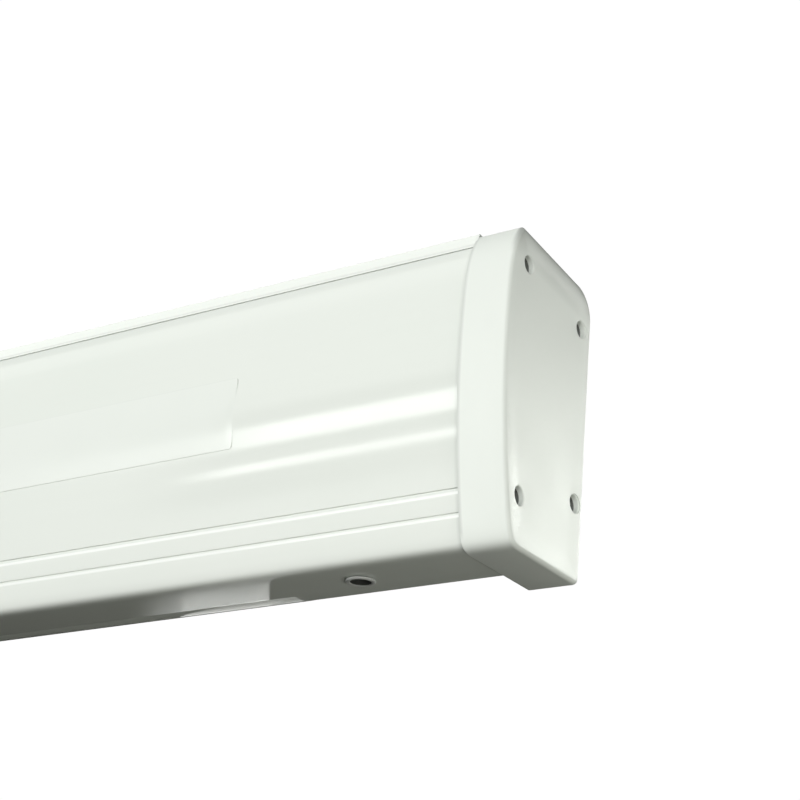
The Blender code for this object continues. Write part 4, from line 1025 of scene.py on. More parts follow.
# ---- motor ------------------------------------------------------------------------------
HEAD_S = (43.0, 75.0)
head_profile = [
    (0, station(HEAD_S[0])),
    (15.0, station(HEAD_S[0])),
    (16.6, station(HEAD_S[0] + 1.6)),
    (16.6, station(50.0)),
    (15.4, station(51.0)),
    (15.4, station(67.0)),
    (16.4, station(68.0)),
    (16.4, station(HEAD_S[1])),
    (0, station(HEAD_S[1])),
]
head = turned(softened(head_profile, 0.5, 20), 72, "X", AXIS)
stud = block(station(44.0), station(31.0), AXIS_Y - 5.0, AXIS_Y + 5.0, AXIS_Z - 5.0, AXIS_Z + 5.0, 0.4)
stud_grooves = [
    block(station(35.6), station(34.2), AXIS_Y - 8, AXIS_Y + 8, AXIS_Z + 4.2, AXIS_Z + 8),
    block(station(35.6), station(34.2), AXIS_Y - 8, AXIS_Y + 8, AXIS_Z - 8, AXIS_Z - 4.2),
]
low_y, high_y = AXIS_Y, AXIS_Y + 11.0
low_z, high_z = AXIS_Z - 16.6, AXIS_Z - 13.0
turret_low = rod(5.2, low_z, AXIS_Z - 8, "Z", (station(ADJUSTER_S), low_y, 0), 0.3, 48)
turret_high = rod(4.2, high_z, AXIS_Z - 4, "Z", (station(ADJUSTER_S), high_y, 0), 0.3, 48)
wells = [
    rod(3.3, low_z - 4, low_z + 6.0, "Z", (station(ADJUSTER_S), low_y, 0), steps=48),
    rod(2.9, high_z - 4, high_z + 6.0, "Z", (station(ADJUSTER_S), high_y, 0), steps=48),
]
piece("motor_head", cut(fused(cut(fused(head, stud), *stud_grooves), turret_low, turret_high), *wells), BLACK)
body_profile = [(0, station(75.3)), (12.0, station(75.3)), (12.7, station(76.0))]
for s in (110.0, 330.0, 396.0):
    body_profile += [(12.7, station(s)), (12.45, station(s + 0.8)), (12.45, station(s + 2.2)), (12.7, station(s + 3.0))]
body_profile += [(12.7, station(402.0)), (12.0, station(402.7)), (0, station(402.7))]
piece("motor_body", turned(body_profile, 72, "X", AXIS), MOTOR)
clip = swept(rounded_rect(AXIS_Y - 8.5, AXIS_Y + 8.5, AXIS_Z - 7.6, AXIS_Z + 7.6, 2.0), ((station(35.4), 0.12), (station(35.28), 0), (station(34.62), 0), (station(34.5), 0.12)))
clip_gap = block(station(40), station(30), AXIS_Y - 5.3, AXIS_Y + 12, AXIS_Z - 4.5, AXIS_Z + 4.5)
piece("motor_retaining_clip", cut(clip, clip_gap), BRIGHT)


def adjuster(bottom):
    body = turned(softened([(0, bottom + 5.6), (2.2, bottom + 5.6), (2.5, bottom + 5.3), (2.5, bottom + 0.9), (2.1, bottom + 0.5), (0, bottom + 0.5)], 0.15), 48, "Z")
    hexagon = [(1.35 * math.cos(math.radians(60 * i)), 1.35 * math.sin(math.radians(60 * i))) for i in range(6)]
    return cut(body, prism(hexagon, bottom - 2, bottom + 3.0, "Z"))


piece("lower_limit_adjuster", moved(adjuster(low_z), station(ADJUSTER_S), low_y), YELLOW)
piece("upper_limit_adjuster", moved(adjuster(high_z), station(ADJUSTER_S), high_y), YELLOW)

# ---- roller -----------------------------------------------------------------------------
bore = TUBE_RADIUS - TUBE_WALL
tube_right, tube_left = station(TUBE_START_S), -HALF + TUBE_END_S
DRIVE_S = (405.0, 425.0)
screw_x = station(sum(DRIVE_S) / 2)
tube_holes = [rod(2.5, 4, 24, "Z", (screw_x, AXIS_Y, AXIS_Z), steps=32), rod(2.5, -24, -4, "Z", (screw_x, AXIS_Y, AXIS_Z), steps=32)]
piece("roller_tube", cut(tube(TUBE_RADIUS, bore, tube_left, tube_right, "X", AXIS, 96, 0.15), *tube_holes), ALUMINIUM)
crown = tube(bore - 0.3, 13.0, station(96.0), station(76.6), "X", AXIS, 80, 0.2)
notches = []
for i in range(4):
    notch_cut = block(station(80.0), station(75.0), 12.4, 15.2, -1.6, 1.6)
    notch_cut.transform(Matrix.Translation(Vector(AXIS) * MM) @ Matrix.Rotation(math.tau * (i + 0.5) / 4, 4, "X"))
    notches.append(notch_cut)
piece("limit_crown", cut(crown, *notches), BLACK)
wheel = tube(bore - 0.3, 3.3, station(DRIVE_S[1]), station(DRIVE_S[0]), "X", AXIS, 80, 0.4)
wheel_holes = [rod(1.15, 8, 24, "Z", (screw_x, AXIS_Y, AXIS_Z), steps=24), rod(1.15, -24, -8, "Z", (screw_x, AXIS_Y, AXIS_Z), steps=24)]
pockets = []
for i in range(6):
    pocket = rod(2.6, station(DRIVE_S[0]) - 4.5, station(DRIVE_S[0]) + 1, "X", (0, 8.8, 0), steps=28)
    pocket.transform(Matrix.Translation(Vector(AXIS) * MM) @ Matrix.Rotation(math.tau * i / 6, 4, "X"))
    pockets.append(pocket)
piece("drive_wheel", cut(wheel, *wheel_holes, *pockets), BLACK)
piece("motor_output_shaft", rod(3.0, station(430.0), station(403.0), "X", AXIS, 0.4, 40), BRIGHT)
tube_screw = turned([(0, 16.0), (1.2, 15.97), (1.95, 15.86), (2.2, 15.66), (2.2, 14.7), (0.85, 14.7), (0.85, 9.4), (0, 9.0)], 32, "Z")
tube_screw = cut(tube_screw, block(-1.3, 1.3, -0.25, 0.25, 15.3, 17), block(-0.25, 0.25, -1.3, 1.3, 15.3, 17))
for label, turn in (("top", 0.0), ("bottom", math.pi)):
    made = tube_screw.copy()
    made.transform(Matrix.Translation(Vector((screw_x, AXIS_Y, AXIS_Z)) * MM) @ Matrix.Rotation(turn, 4, "X"))
    piece(f"drive_wheel_screw_{label}", made, BRIGHT)
plug_profile = [
    (TUBE_RADIUS, tube_left - 5.0),
    (TUBE_RADIUS, tube_left - 0.3),
    (bore - 0.3, tube_left - 0.3),
    (bore - 0.3, tube_left + 22.0),
    (5.2, tube_left + 22.0),
    (5.2, tube_left - 5.0),
]
plug = turned(softened(plug_profile, 0.4), 80, "X", AXIS)
ribs = []
for i in range(8):
    gap = block(tube_left + 2.0, tube_left + 26.0, 13.2, 15.0, -2.2, 2.2)
    gap.transform(Matrix.Translation(Vector(AXIS) * MM) @ Matrix.Rotation(math.tau * i / 8, 4, "X"))
    ribs.append(gap)
piece("roller_end_plug", cut(plug, *ribs), BLACK)
piece("idler_pin", rod(4.9, -HALF + 33.0, tube_left + 16.0, "X", AXIS, 0.6, 48), BRIGHT)
bush_right = -HALF + BRACKET_PLATE_S[1] + 0.3
bush_profile = [(5.2, bush_right + 2.2), (9.6, bush_right + 2.2), (9.6, bush_right), (7.0, bush_right), (7.0, -HALF + 36.4), (5.2, -HALF + 36.4)]
piece("idler_bush", turned(softened(bush_profile, 0.3), 56, "X", AXIS), GREY)

# ---- screen cloth -----------------------------------------------------------------------
# One cloth in two pieces: what lies on the roller, wound as a spiral, and what hangs from it to the weight bar.
THICK = 0.25
PITCH = 0.262


def wound_cloth():
    """The wound cloth: a closed band of the cloth's thickness along an Archimedean spiral, tangent to the hanging part."""
    outer = ROLL_RADIUS - THICK
    turns = (outer - TUBE_RADIUS - 0.32) / PITCH
    steps = int(turns * 56)
    rings, length, last = [[], []], 0.0, None
    for i in range(steps + 1):
        a = math.tau * turns * i / steps
        r = outer - PITCH * turns * (1 - i / steps)
        angle = a - math.tau * turns - math.radians(8)
        p = Vector((AXIS_Y + r * math.cos(angle), AXIS_Z + r * math.sin(angle)))
        q = Vector((AXIS_Y + (r + THICK) * math.cos(angle), AXIS_Z + (r + THICK) * math.sin(angle)))
        rings[0].append((p, length))
        if last is not None:
            length += (p - last).length
            rings[0][-1] = (p, length)
        rings[1].append((q, length))
        last = p
    loop = [p for p, _ in rings[0]] + [q for q, _ in reversed(rings[1])]
    along = [d for _, d in rings[0]] + [d for _, d in reversed(rings[1])]
    half = FABRIC_WIDTH / 2
    shape = bmesh.new()
    uv = shape.loops.layers.uv.new("UVMap")
    columns = []
    for x in (-half, -half * 0.5, 0.0, half * 0.5, half):
        columns.append([shape.verts.new(Vector((x, p.x, p.y)) * MM) for p in loop])
    stations = (-half, -half * 0.5, 0.0, half * 0.5, half)
    n = len(loop)
    for c, (a, b) in enumerate(zip(columns, columns[1:])):
        for i in range(n):
            j = (i + 1) % n
            face = shape.faces.new((a[i], a[j], b[j], b[i]))
            for corner, (x, k) in zip(face.loops, ((stations[c], i), (stations[c], j), (stations[c + 1], j), (stations[c + 1], i))):
                corner[uv].uv = (x * MM, -along[k] * MM)
    for column in (columns[0], columns[-1]):
        half_n = n // 2
        for i in range(half_n - 1):
            face = shape.faces.new((column[i], column[i + 1], column[n - 2 - i], column[n - 1 - i]))
            for corner in face.loops:
                corner[uv].uv = (0.0, 0.0)
    bmesh.ops.recalc_face_normals(shape, faces=shape.faces)
    mesh = bpy.data.meshes.new("wound_cloth")
    shape.to_mesh(mesh)
    shape.free()
    return mesh, length * MM


wound, wound_length = wound_cloth()
wound.transform(Matrix.Translation(SHIFT))
roll = bpy.data.objects.new("fabric_roll_cloth", wound)
scene.collection.objects.link(roll)
set_look(roll, CLOTH_BACK, smooth=50)
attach(roll, "roller")
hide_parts("fabric_roll")

bar_top = BAR_BOTTOM_Z + BAR_HEIGHT
drop_top = Vector((AXIS_Y + ROLL_RADIUS + 0.02, AXIS_Z - 2.0))
drop_low = Vector((BAR_Y, bar_top - 3.1))


def drop_rows(count=96):
    """Shares of the way down at rest, spaced so that the rows lie evenly once the screen is down."""
    rest = (drop_top.y - drop_low.y) * MM
    shares = []
    for k in range(count + 1):
        target, low, high = k / count * (rest + TRAVEL), 0.0, 1.0
        for _ in range(60):
            mid = (low + high) / 2
            if rest * mid + TRAVEL * mid * mid * (3 - 2 * mid) < target:
                low = mid
            else:
                high = mid
        shares.append((low + high) / 2)
    shares[0], shares[-1] = 0.0, 1.0
    return shares, rest


def hanging_cloth():
    """The hanging cloth, closed and as thick as the cloth. Its UV holds the distance below the roller once it is down."""
    shares, rest = drop_rows()
    half = FABRIC_WIDTH / 2
    columns = [-half + FABRIC_WIDTH * i / 24 for i in range(25)]
    shape = bmesh.new()
    uv = shape.loops.layers.uv.new("UVMap")
    grids = []
    for side in (-THICK / 2, THICK / 2):
        rows = []
        for share in shares:
            p = drop_top + (drop_low - drop_top) * share
            rows.append([shape.verts.new(Vector((x, p.x + side, p.y)) * MM) for x in columns])
        grids.append(rows)
    down = [rest * s + TRAVEL * s * s * (3 - 2 * s) for s in shares]

    def face(corners, places, look):
        made = shape.faces.new(corners)
        made.material_index = look
        for loop, (x, v) in zip(made.loops, places):
            loop[uv].uv = (x * MM, v)

    for side, rows in enumerate(grids):
        for r in range(len(shares) - 1):
            for c in range(len(columns) - 1):
                quad = (rows[r][c], rows[r][c + 1], rows[r + 1][c + 1], rows[r + 1][c])
                at = ((columns[c], down[r]), (columns[c + 1], down[r]), (columns[c + 1], down[r + 1]), (columns[c], down[r + 1]))
                face(quad, at, side)
    for r in range(len(shares) - 1):
        for c in (0, len(columns) - 1):
            face((grids[0][r][c], grids[1][r][c], grids[1][r + 1][c], grids[0][r + 1][c]), ((columns[c], down[r]),) * 2 + ((columns[c], down[r + 1]),) * 2, 1)
    for r in (0, len(shares) - 1):
        for c in range(len(columns) - 1):
            face((grids[0][r][c], grids[0][r][c + 1], grids[1][r][c + 1], grids[1][r][c]), ((columns[c], down[r]), (columns[c + 1], down[r])) * 2, 1)
    bmesh.ops.recalc_face_normals(shape, faces=shape.faces)
    mesh = bpy.data.meshes.new("hanging_cloth")
    shape.to_mesh(mesh)
    shape.free()
    return mesh, (drop_top - drop_low).length * MM


hanging, hanging_length = hanging_cloth()
hanging.transform(Matrix.Translation(SHIFT))
drop = bpy.data.objects.new("screen_fabric_drop_cloth", hanging)
scene.collection.objects.link(drop)
drop.data.materials.append(CLOTH_FRONT)
drop.data.materials.append(CLOTH_BACK)
drop.data.shade_smooth()
drop.data.set_sharp_from_angle(angle=math.radians(50))
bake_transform(drop)
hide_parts("screen_fabric_drop")

# ---- weight bar -------------------------------------------------------------------------
bar_half = HALF - SLOT_END_S - 3.3
piece("weight_bar", swept(bar_outline(), ((-bar_half, 0), (bar_half, 0))), PAINT, smooth=24)
piece("hem_rod", rod(1.7, -FABRIC_WIDTH / 2, FABRIC_WIDTH / 2, "X", (0, BAR_Y, bar_top - 5.2), 0.3, 32), BRIGHT)


def solid_bar_outline():
    y, r, top = BAR_Y, BAR_HALF_DEPTH, bar_top
    path = [(y - r + 1.9, top - 0.9), (y - r, top - 4.8)]
    path += arc(y, BAR_BOTTOM_Z + BAR_HALF_DEPTH, r, -180, 0, 40)
    return filleted(path + [(y + r, top - 4.8), (y + r - 1.9, top - 0.9), (y + 1.2, top), (y - 1.2, top)], 0.6, 20)


end_stops = ((bar_half + 0.3, 0.15), (bar_half + 0.45, 0), (bar_half + 2.3, 0), (bar_half + 2.7, 0.12), (bar_half + 2.92, 0.34), (bar_half + 3.0, 0.6))
bar_end = fused(swept(solid_bar_outline(), end_stops), rod(4.2, bar_half - 9.0, bar_half + 1.5, "X", (0, BAR_Y, BAR_BOTTOM_Z + BAR_HALF_DEPTH), 0.4, 40))
piece("weight_bar_end_left", mirrored(bar_end), CAP)
piece("weight_bar_end_right", bar_end, CAP)

# ---- receiver and terminal block --------------------------------------------------------
lip_top = under_z(-20.0, SKIN + LIP_WALL)
receiver_x = (-HALF + 130.0, -HALF + 250.0)
base_box = block(*receiver_x, -35.0, -20.0, lip_top + 0.3, lip_top + 18.3, 0.8)
base_hollow = block(receiver_x[0] + 1.6, receiver_x[1] - 1.6, -33.4, -21.6, lip_top + 2.0, lip_top + 30.0)
piece("receiver_box_base", cut(base_box, base_hollow), BLACK)
lid = block(*receiver_x, -35.0, -20.0, lip_top + 18.6, lip_top + 21.0, 0.5)
lid_lip = block(receiver_x[0] + 2.0, receiver_x[1] - 2.0, -33.0, -22.0, lip_top + 16.6, lip_top + 19.6, 0.2)
lines = [block(receiver_x[0] + 12 + 3 * i, receiver_x[0] + 13 + 3 * i, -32.0, -23.0, lip_top + 20.5, lip_top + 22.0) for i in range(8)]
piece("receiver_box_lid", cut(fused(lid, lid_lip), *lines), BLACK)
board = block(receiver_x[0] + 2.2, receiver_x[1] - 2.2, -32.8, -22.2, lip_top + 6.0, lip_top + 7.6, 0.1, 1)
piece("receiver_circuit_board", board, BOARD)
terminal = block(-HALF + 72.0, -HALF + 108.0, -34.0, -21.0, lip_top + 0.3, lip_top + 14.3, 0.6)
terminal_holes = [rod(1.8, lip_top + 8, lip_top + 20, "Z", (-HALF + 78.0 + 12.0 * i, y, 0), steps=32) for i in range(3) for y in (-31.0, -24.0)]
entries = [block(-HALF + 76.0 + 12.0 * i, -HALF + 80.0 + 12.0 * i, y0, y1, lip_top + 2.5, lip_top + 6.0, 0.3, 1) for i in range(3) for y0, y1 in ((-36.0, -31.0), (-24.0, -19.0))]
piece("terminal_block", cut(terminal, *terminal_holes, *entries), GREY)

# ---- wall brackets ----------------------------------------------------------------------
bracket_z0 = CAP_HEIGHT - SKIN + 0.3
bracket_z1 = bracket_z0 + BRACKET_SHEET
half_bracket = BRACKET_WIDTH / 2


def wall_bracket_mesh():
    """An L bracket pressed from sheet: a rounded bend, gussets, two slots for wall screws and a bolt hole."""
    t, bend, tall = BRACKET_SHEET, 3.4, BRACKET_RISE
    path = [(-42.0, bracket_z0), (0.0, bracket_z0), (0.0, bracket_z0 + tall), (-t, bracket_z0 + tall), (-t, bracket_z1), (-42.0, bracket_z1)]
    path = filleted(path, bend, 60, 8, only=(1,))
    inner = [i for i, p in enumerate(path) if abs(p[0] + t) < 1e-6 and abs(p[1] - bracket_z1) < 1e-6]
    path = filleted(path, bend - t + 0.6, 60, 6, only=inner)
    body = swept(path, ((-half_bracket, 0.18), (-half_bracket + 0.18, 0), (half_bracket - 0.18, 0), (half_bracket, 0.18)))
    corner = []
    for sx in (-1, 1):
        outer = [(sx * half_bracket + sx * 1, -43.0), (sx * half_bracket + sx * 1, -42.0 + 5.0)]
        outer += [(sx * (half_bracket - 5.0) + sx * 5.0 * math.cos(a), -37.0 - 5.0 * math.sin(a)) for a in (math.pi / 2 * k / 8 for k in range(9))]
        outer += [(sx * (half_bracket - 5.0), -43.0)]
        if sx < 0:
            outer.reverse()
        corner.append(prism(outer, bracket_z0 - 2, bracket_z1 + 2, "Z"))
        high = bracket_z0 + tall
        top_cut = [(sx * (half_bracket + 1), high - 5.0)]
        top_cut += [(sx * (half_bracket - 5.0) + sx * 5.0 * math.cos(a), high - 5.0 + 5.0 * math.sin(a)) for a in (math.pi / 2 * k / 8 for k in range(9))]
        top_cut += [(sx * (half_bracket - 5.0), high + 1), (sx * (half_bracket + 1), high + 1)]
        if sx < 0:
            top_cut.reverse()
        made = prism(top_cut, -5, 5, "Z")
        made.transform(Matrix.Rotation(math.pi / 2, 4, "X"))
        corner.append(made)
    gussets = [
        swept(filleted([(-2.0, bracket_z1 - 0.8), (-2.0, bracket_z1 + 16.0), (-16.0, bracket_z1 - 0.8)], 0.6, 30, 4), ((x - 1.1, 0.25), (x - 0.85, 0), (x + 0.85, 0), (x + 1.1, 0.25)))
        for x in (-half_bracket + 6.0, half_bracket - 6.0)
    ]
    bolt_hole = rod(3.3, bracket_z0 - 5, bracket_z1 + 5, "Z", (0, T_SLOT_Y, 0), steps=48)
    slots = []
    for x in (-11.0, 11.0):
        made = prism(rounded_rect(-2.75, 2.75, -6.0, 6.0, 2.7, 10), -10, 10, "Z")
        made.transform(Matrix.Translation(Vector((x, 0, bracket_z0 + 30.0)) * MM) @ Matrix.Rotation(math.pi / 2, 4, "X"))
        slots.append(made)
    return cut(fused(body, *gussets), bolt_hole, *slots, *corner)


def t_bolt_mesh():
    plate = block(-6.0, 6.0, T_SLOT_Y - 6.0, T_SLOT_Y + 6.0, T_SLOT_FLOOR + 0.6, T_SLOT_TOP - 0.3, 0.4)
    return fused(plate, threaded(2.95, T_SLOT_TOP - 2.0, bracket_z1 + 9.5, 1.0, 0.42, "Z", (0, T_SLOT_Y, 0), steps=36, tip=0.9))


washer_z = bracket_z1 + 0.3
nut_z = washer_z + 1.5


def nut_mesh():
    """A hexagon nut whose corners are turned down at both faces."""
    flat = [(5.7 * math.cos(math.radians(60 * i)), 5.7 * math.sin(math.radians(60 * i)) + T_SLOT_Y) for i in range(6)]
    blank = prism(filleted(flat, 0.25, 30, 3), nut_z, nut_z + 5.0, "Z")
    round_off = turned([(0, nut_z + 5.0), (4.9, nut_z + 5.0), (5.9, nut_z + 4.42), (5.9, nut_z + 0.58), (4.9, nut_z), (0, nut_z)], 72, "Z", (0, T_SLOT_Y, 0))
    bore_cut = turned([(0, nut_z + 8), (3.6, nut_z + 8), (3.6, nut_z + 4.9), (3.2, nut_z + 4.5), (3.2, nut_z + 0.5), (3.6, nut_z + 0.1), (3.6, nut_z - 3), (0, nut_z - 3)], 48, "Z", (0, T_SLOT_Y, 0))
    return cut(joined(blank, "INTERSECT", round_off), bore_cut)


bracket_mesh, t_bolt, nut = wall_bracket_mesh(), t_bolt_mesh(), nut_mesh()
washer = turned(softened([(3.3, washer_z + 1.2), (6.2, washer_z + 1.2), (6.2, washer_z), (3.3, washer_z)], 0.2), 56, "Z", (0, T_SLOT_Y, 0))
for side, x in (("right", BRACKET_X), ("left", -BRACKET_X)):
    piece(f"wall_bracket_{side}", moved(bracket_mesh, x), ZINC)
    piece(f"bracket_t_bolt_{side}", moved(t_bolt, x), BRIGHT)
    piece(f"bracket_washer_{side}", moved(washer, x), BRIGHT)
    piece(f"bracket_nut_{side}", moved(nut, x), BRIGHT)

# ---- blank label ------------------------------------------------------------------------


def label_mesh():
    """A thin film with rounded corners that follows the bowed front."""
    x0, x1 = station(LABEL_S[1]), station(LABEL_S[0])
    z0, z1 = LABEL_Z
    border = rounded_rect(x0, x1, z0, z1, 1.0, 5)
    points = [Vector(p) for p in border]
    for i in range(1, 54):
        for j in range(1, 13):
            points.append(Vector((x0 + (x1 - x0) * i / 54, z0 + (z1 - z0) * j / 13)))
    points = points[: len(border)] + [p for p in points[len(border) :] if x0 + 1 < p.x < x1 - 1 and z0 + 1 < p.y < z1 - 1]
    verts, _, faces, _, _, _ = delaunay_2d_cdt(points, [], [list(range(len(border)))], 1, 1e-6)
    surface = lambda z, d: front_part(SKIN - d, z, z - 1.0)[0][0]
    heights = sorted({round(v.y, 5) for v in verts})
    near = {h: surface(h, 0.06) for h in heights}
    far = {h: surface(h, 0.20) for h in heights}
    shape = bmesh.new()
    inner = [shape.verts.new(Vector((v.x, near[round(v.y, 5)], v.y)) * MM) for v in verts]
    outer = [shape.verts.new(Vector((v.x, far[round(v.y, 5)], v.y)) * MM) for v in verts]
    for f in faces:
        shape.faces.new([inner[i] for i in f])
        shape.faces.new([outer[i] for i in reversed(f)])
    for i in range(len(border)):
        j = (i + 1) % len(border)
        shape.faces.new((inner[i], inner[j], outer[j], outer[i]))
    return mesh_of(shape, 1e-6)


piece("front_label_blank", label_mesh(), FILM, smooth=40)

for leftover in list(work.objects):
    bpy.data.objects.remove(leftover, do_unlink=True)
bpy.data.collections.remove(work)

# ---- camera -----------------------------------------------------------------------------
def photo_camera():
    """The camera found from the photograph's own lines: square picture 800 px wide, optical centre in its middle."""
    turn = Vector((1.04949583, 0.382130762, -0.441201605))
    to_camera = Matrix.Rotation(turn.length, 3, turn.normalized())
    data = bpy.data.cameras.new("photo_camera")
    data.sensor_width = data.sensor_height = 36.0
    data.lens = 1757.04 / 800 * 36.0
    data.clip_start, data.clip_end = 0.01, 300.0
    camera = bpy.data.objects.new("photo_camera", data)
    scene.collection.objects.link(camera)
    right, up, back = to_camera[0], -to_camera[1], -to_camera[2]
    pose = Matrix((right, up, back)).transposed().to_4x4()
    pose.translation = Vector((HALF + 222.717, -431.266 + SKIN, -184.103 - CAP_HEIGHT / 2)) * MM
    camera.matrix_world = pose
    scene.camera = camera
    return camera


camera = photo_camera()

# ---- studio -----------------------------------------------------------------------------
scene.view_settings.view_transform = "Standard"
scene.view_settings.look = "None"
scene.view_settings.exposure = 0.0
scene.view_settings.gamma = 1.0

world = bpy.data.worlds.new("studio")
scene.world = world
world.use_nodes = True
sky = world.node_tree.nodes["Background"]
sky.inputs["Color"].default_value = (0.975, 1.0, 0.965, 1.0)
sky_up, sky_low = 0.30, 0.03
sky_at = world.node_tree.nodes.new("ShaderNodeTexCoord")
sky_split = world.node_tree.nodes.new("ShaderNodeSeparateXYZ")
sky_fall = world.node_tree.nodes.new("ShaderNodeMapRange")
sky_fall.interpolation_type = "SMOOTHSTEP"
for socket, number in zip(("From Min", "From Max", "To Min", "To Max"), (-0.12, 0.12, sky_low, sky_up)):
    sky_fall.inputs[socket].default_value = number
world.node_tree.links.new(sky_at.outputs["Generated"], sky_split.inputs["Vector"])
world.node_tree.links.new(sky_split.outputs["Z"], sky_fall.inputs["Value"])
world.node_tree.links.new(sky_fall.outputs["Result"], sky.inputs["Strength"])


def stage_piece(name, mesh, look):
    obj = bpy.data.objects.new(name, mesh)
    scene.collection.objects.link(obj)
    mesh.materials.append(look)
    return obj


def glowing(name, colour, strength):
    """A plain pale backdrop that shines evenly."""
    look = bpy.data.materials.new(name)
    look.use_nodes = True
    tree = look.node_tree
    tree.nodes.remove(tree.nodes["Principled BSDF"])
    shine = tree.nodes.new("ShaderNodeEmission")
    shine.inputs["Color"].default_value = (*colour, 1.0)
    shine.inputs["Strength"].default_value = strength
    tree.links.new(shine.outputs["Emission"], tree.nodes["Material Output"].inputs["Surface"])
    return look


shape = bmesh.new()
bmesh.ops.create_uvsphere(shape, u_segments=64, v_segments=32, radius=60.0)
bmesh.ops.reverse_faces(shape, faces=shape.faces)
dome_mesh = bpy.data.meshes.new("backdrop")
shape.to_mesh(dome_mesh)
shape.free()
dome_mesh.shade_smooth()
dome = stage_piece("backdrop", dome_mesh, glowing("backdrop_white", (1.0, 1.0, 1.0), 1.02))

FLOOR_Z = -1.42
shape = bmesh.new()
bmesh.ops.create_circle(shape, cap_ends=True, segments=96, radius=58.0)
floor_mesh = bpy.data.meshes.new("floor")
shape.to_mesh(floor_mesh)
shape.free()
floor_look = Look("floor_pale", (0.012, 0.012, 0.012), 0.9, Emission_Color=(0.98, 1.0, 0.98, 1.0), Emission_Strength=0.62)
floor_look.tinted(0.02, 1.2)
floor_look.shader.inputs["Specular IOR Level"].default_value = 0.0
far = floor_look.maths("SQRT", floor_look.maths("ADD", *(floor_look.maths("MULTIPLY", floor_look.split[axis], floor_look.split[axis]) for axis in "XY")))
floor_look.link(floor_look.ranged(far, 4.0, 45.0, 0.66, 0.98), floor_look.shader.inputs["Emission Strength"])
floor = stage_piece("floor", floor_mesh, floor_look.done())
floor.location.z = FLOOR_Z
for obj in (dome, floor):
    obj.visible_diffuse = obj.visible_glossy = obj.visible_transmission = obj.visible_volume_scatter = False
dome.visible_shadow = False


def area(name, at, to, width, height, power, colour=(1.0, 1.0, 1.0), spread=180.0, glossy=False, diffuse=True):
    """A soft rectangular light at a point, facing another."""
    data = bpy.data.lights.new(name, "AREA")
    data.shape, data.size, data.size_y = "RECTANGLE", width, height
    data.energy, data.color, data.spread = power, colour, math.radians(spread)
    obj = bpy.data.objects.new(name, data)
    scene.collection.objects.link(obj)
    obj.location = at
    obj.rotation_mode = "QUATERNION"
    obj.rotation_quaternion = (Vector(to) - Vector(at)).to_track_quat("-Z", "Y")
    obj.visible_camera = False
    obj.visible_glossy, obj.visible_diffuse = glossy, diffuse
    return obj


class Card:
    """An upright board along X that shines and is seen only in reflections. Its glow is built up from soft steps."""

    def __init__(self, name, y, x0, x1, z0, z1, only=()):
        shape = bmesh.new()
        shape.faces.new([shape.verts.new(Vector((x, 0, z))) for x, z in ((x0, z0), (x1, z0), (x1, z1), (x0, z1))])
        mesh = bpy.data.meshes.new(name)
        shape.to_mesh(mesh)
        shape.free()
        look = bpy.data.materials.new(name)
        look.use_nodes = True
        self.tree = look.node_tree
        self.tree.nodes.remove(self.tree.nodes["Principled BSDF"])
        self.shine = self.tree.nodes.new("ShaderNodeEmission")
        self.tree.links.new(self.shine.outputs["Emission"], self.tree.nodes["Material Output"].inputs["Surface"])
        where = self.tree.nodes.new("ShaderNodeTexCoord")
        split = self.tree.nodes.new("ShaderNodeSeparateXYZ")
        self.tree.links.new(where.outputs["Object"], split.inputs["Vector"])
        self.x, self.z = split.outputs["X"], split.outputs["Z"]
        self.obj = stage_piece(name, mesh, look)
        self.obj.location.y = y
        self.obj.visible_camera = self.obj.visible_diffuse = self.obj.visible_transmission = False
        self.obj.visible_volume_scatter = self.obj.visible_shadow = False
        if only:
            lit = bpy.data.collections.new(name + "_lit")
            for piece_name in only:
                lit.objects.link(bpy.data.objects[piece_name])
            self.obj.light_linking.receiver_collection = lit

    def step(self, value, low, high, to_low, to_high):
        node = self.tree.nodes.new("ShaderNodeMapRange")
        node.interpolation_type = "SMOOTHSTEP"
        for socket, number in zip(("From Min", "From Max", "To Min", "To Max"), (low, high, to_low, to_high)):
            node.inputs[socket].default_value = number
        self.tree.links.new(value, node.inputs["Value"])
        return node.outputs["Result"]

    def maths(self, operation, a, b=0.0):
        node = self.tree.nodes.new("ShaderNodeMath")
        node.operation = operation
        for socket, value in zip(node.inputs, (a, b)):
            if isinstance(value, bpy.types.NodeSocket):
                self.tree.links.new(value, socket)
            else:
                socket.default_value = value
        return node.outputs[0]

    def strip(self, at, half, soft, value=None):
        """One inside a strip along X, nothing outside it."""
        off = self.maths("ABSOLUTE", self.maths("SUBTRACT", self.z if value is None else value, at))
        return self.step(off, half, half + soft, 1.0, 0.0)

    def shines(self, value, colour=(1.0, 1.0, 1.0)):
        self.shine.inputs["Color"].default_value = (*colour, 1.0)
        if isinstance(value, bpy.types.NodeSocket):
            self.tree.links.new(value, self.shine.inputs["Strength"])
        else:
            self.shine.inputs["Strength"].default_value = value


# Soft boxes, all out of the picture and left out of reflections.
area("front_right_box", (4.05, -7.5, 0.0), (0.8, 0, 0), 2.5, 2.0, 310.0)
area("front_left_box", (-7.7, -6.0, 0.5), (0.8, 0, 0), 3.5, 2.5, 626.0)
area("front_middle_box", (-4.2, -7.5, 0.75), (0.8, 0, 0), 4.0, 2.0, 81.0)
area("top_box", (0.4, -0.3, 3.2), (0.4, 0, 0), 3.0, 2.0, 6.5)
area("low_right_box", (1.45, -0.15, -0.40), (0.89, -0.03, -0.02), 0.3, 0.3, 1.68, (1.0, 1.0, 0.93))
area("low_back_box", (0.3, 2.4, -1.2), (0.6, 0, 0), 2.0, 1.2, 7.2, (1.0, 1.0, 0.90))
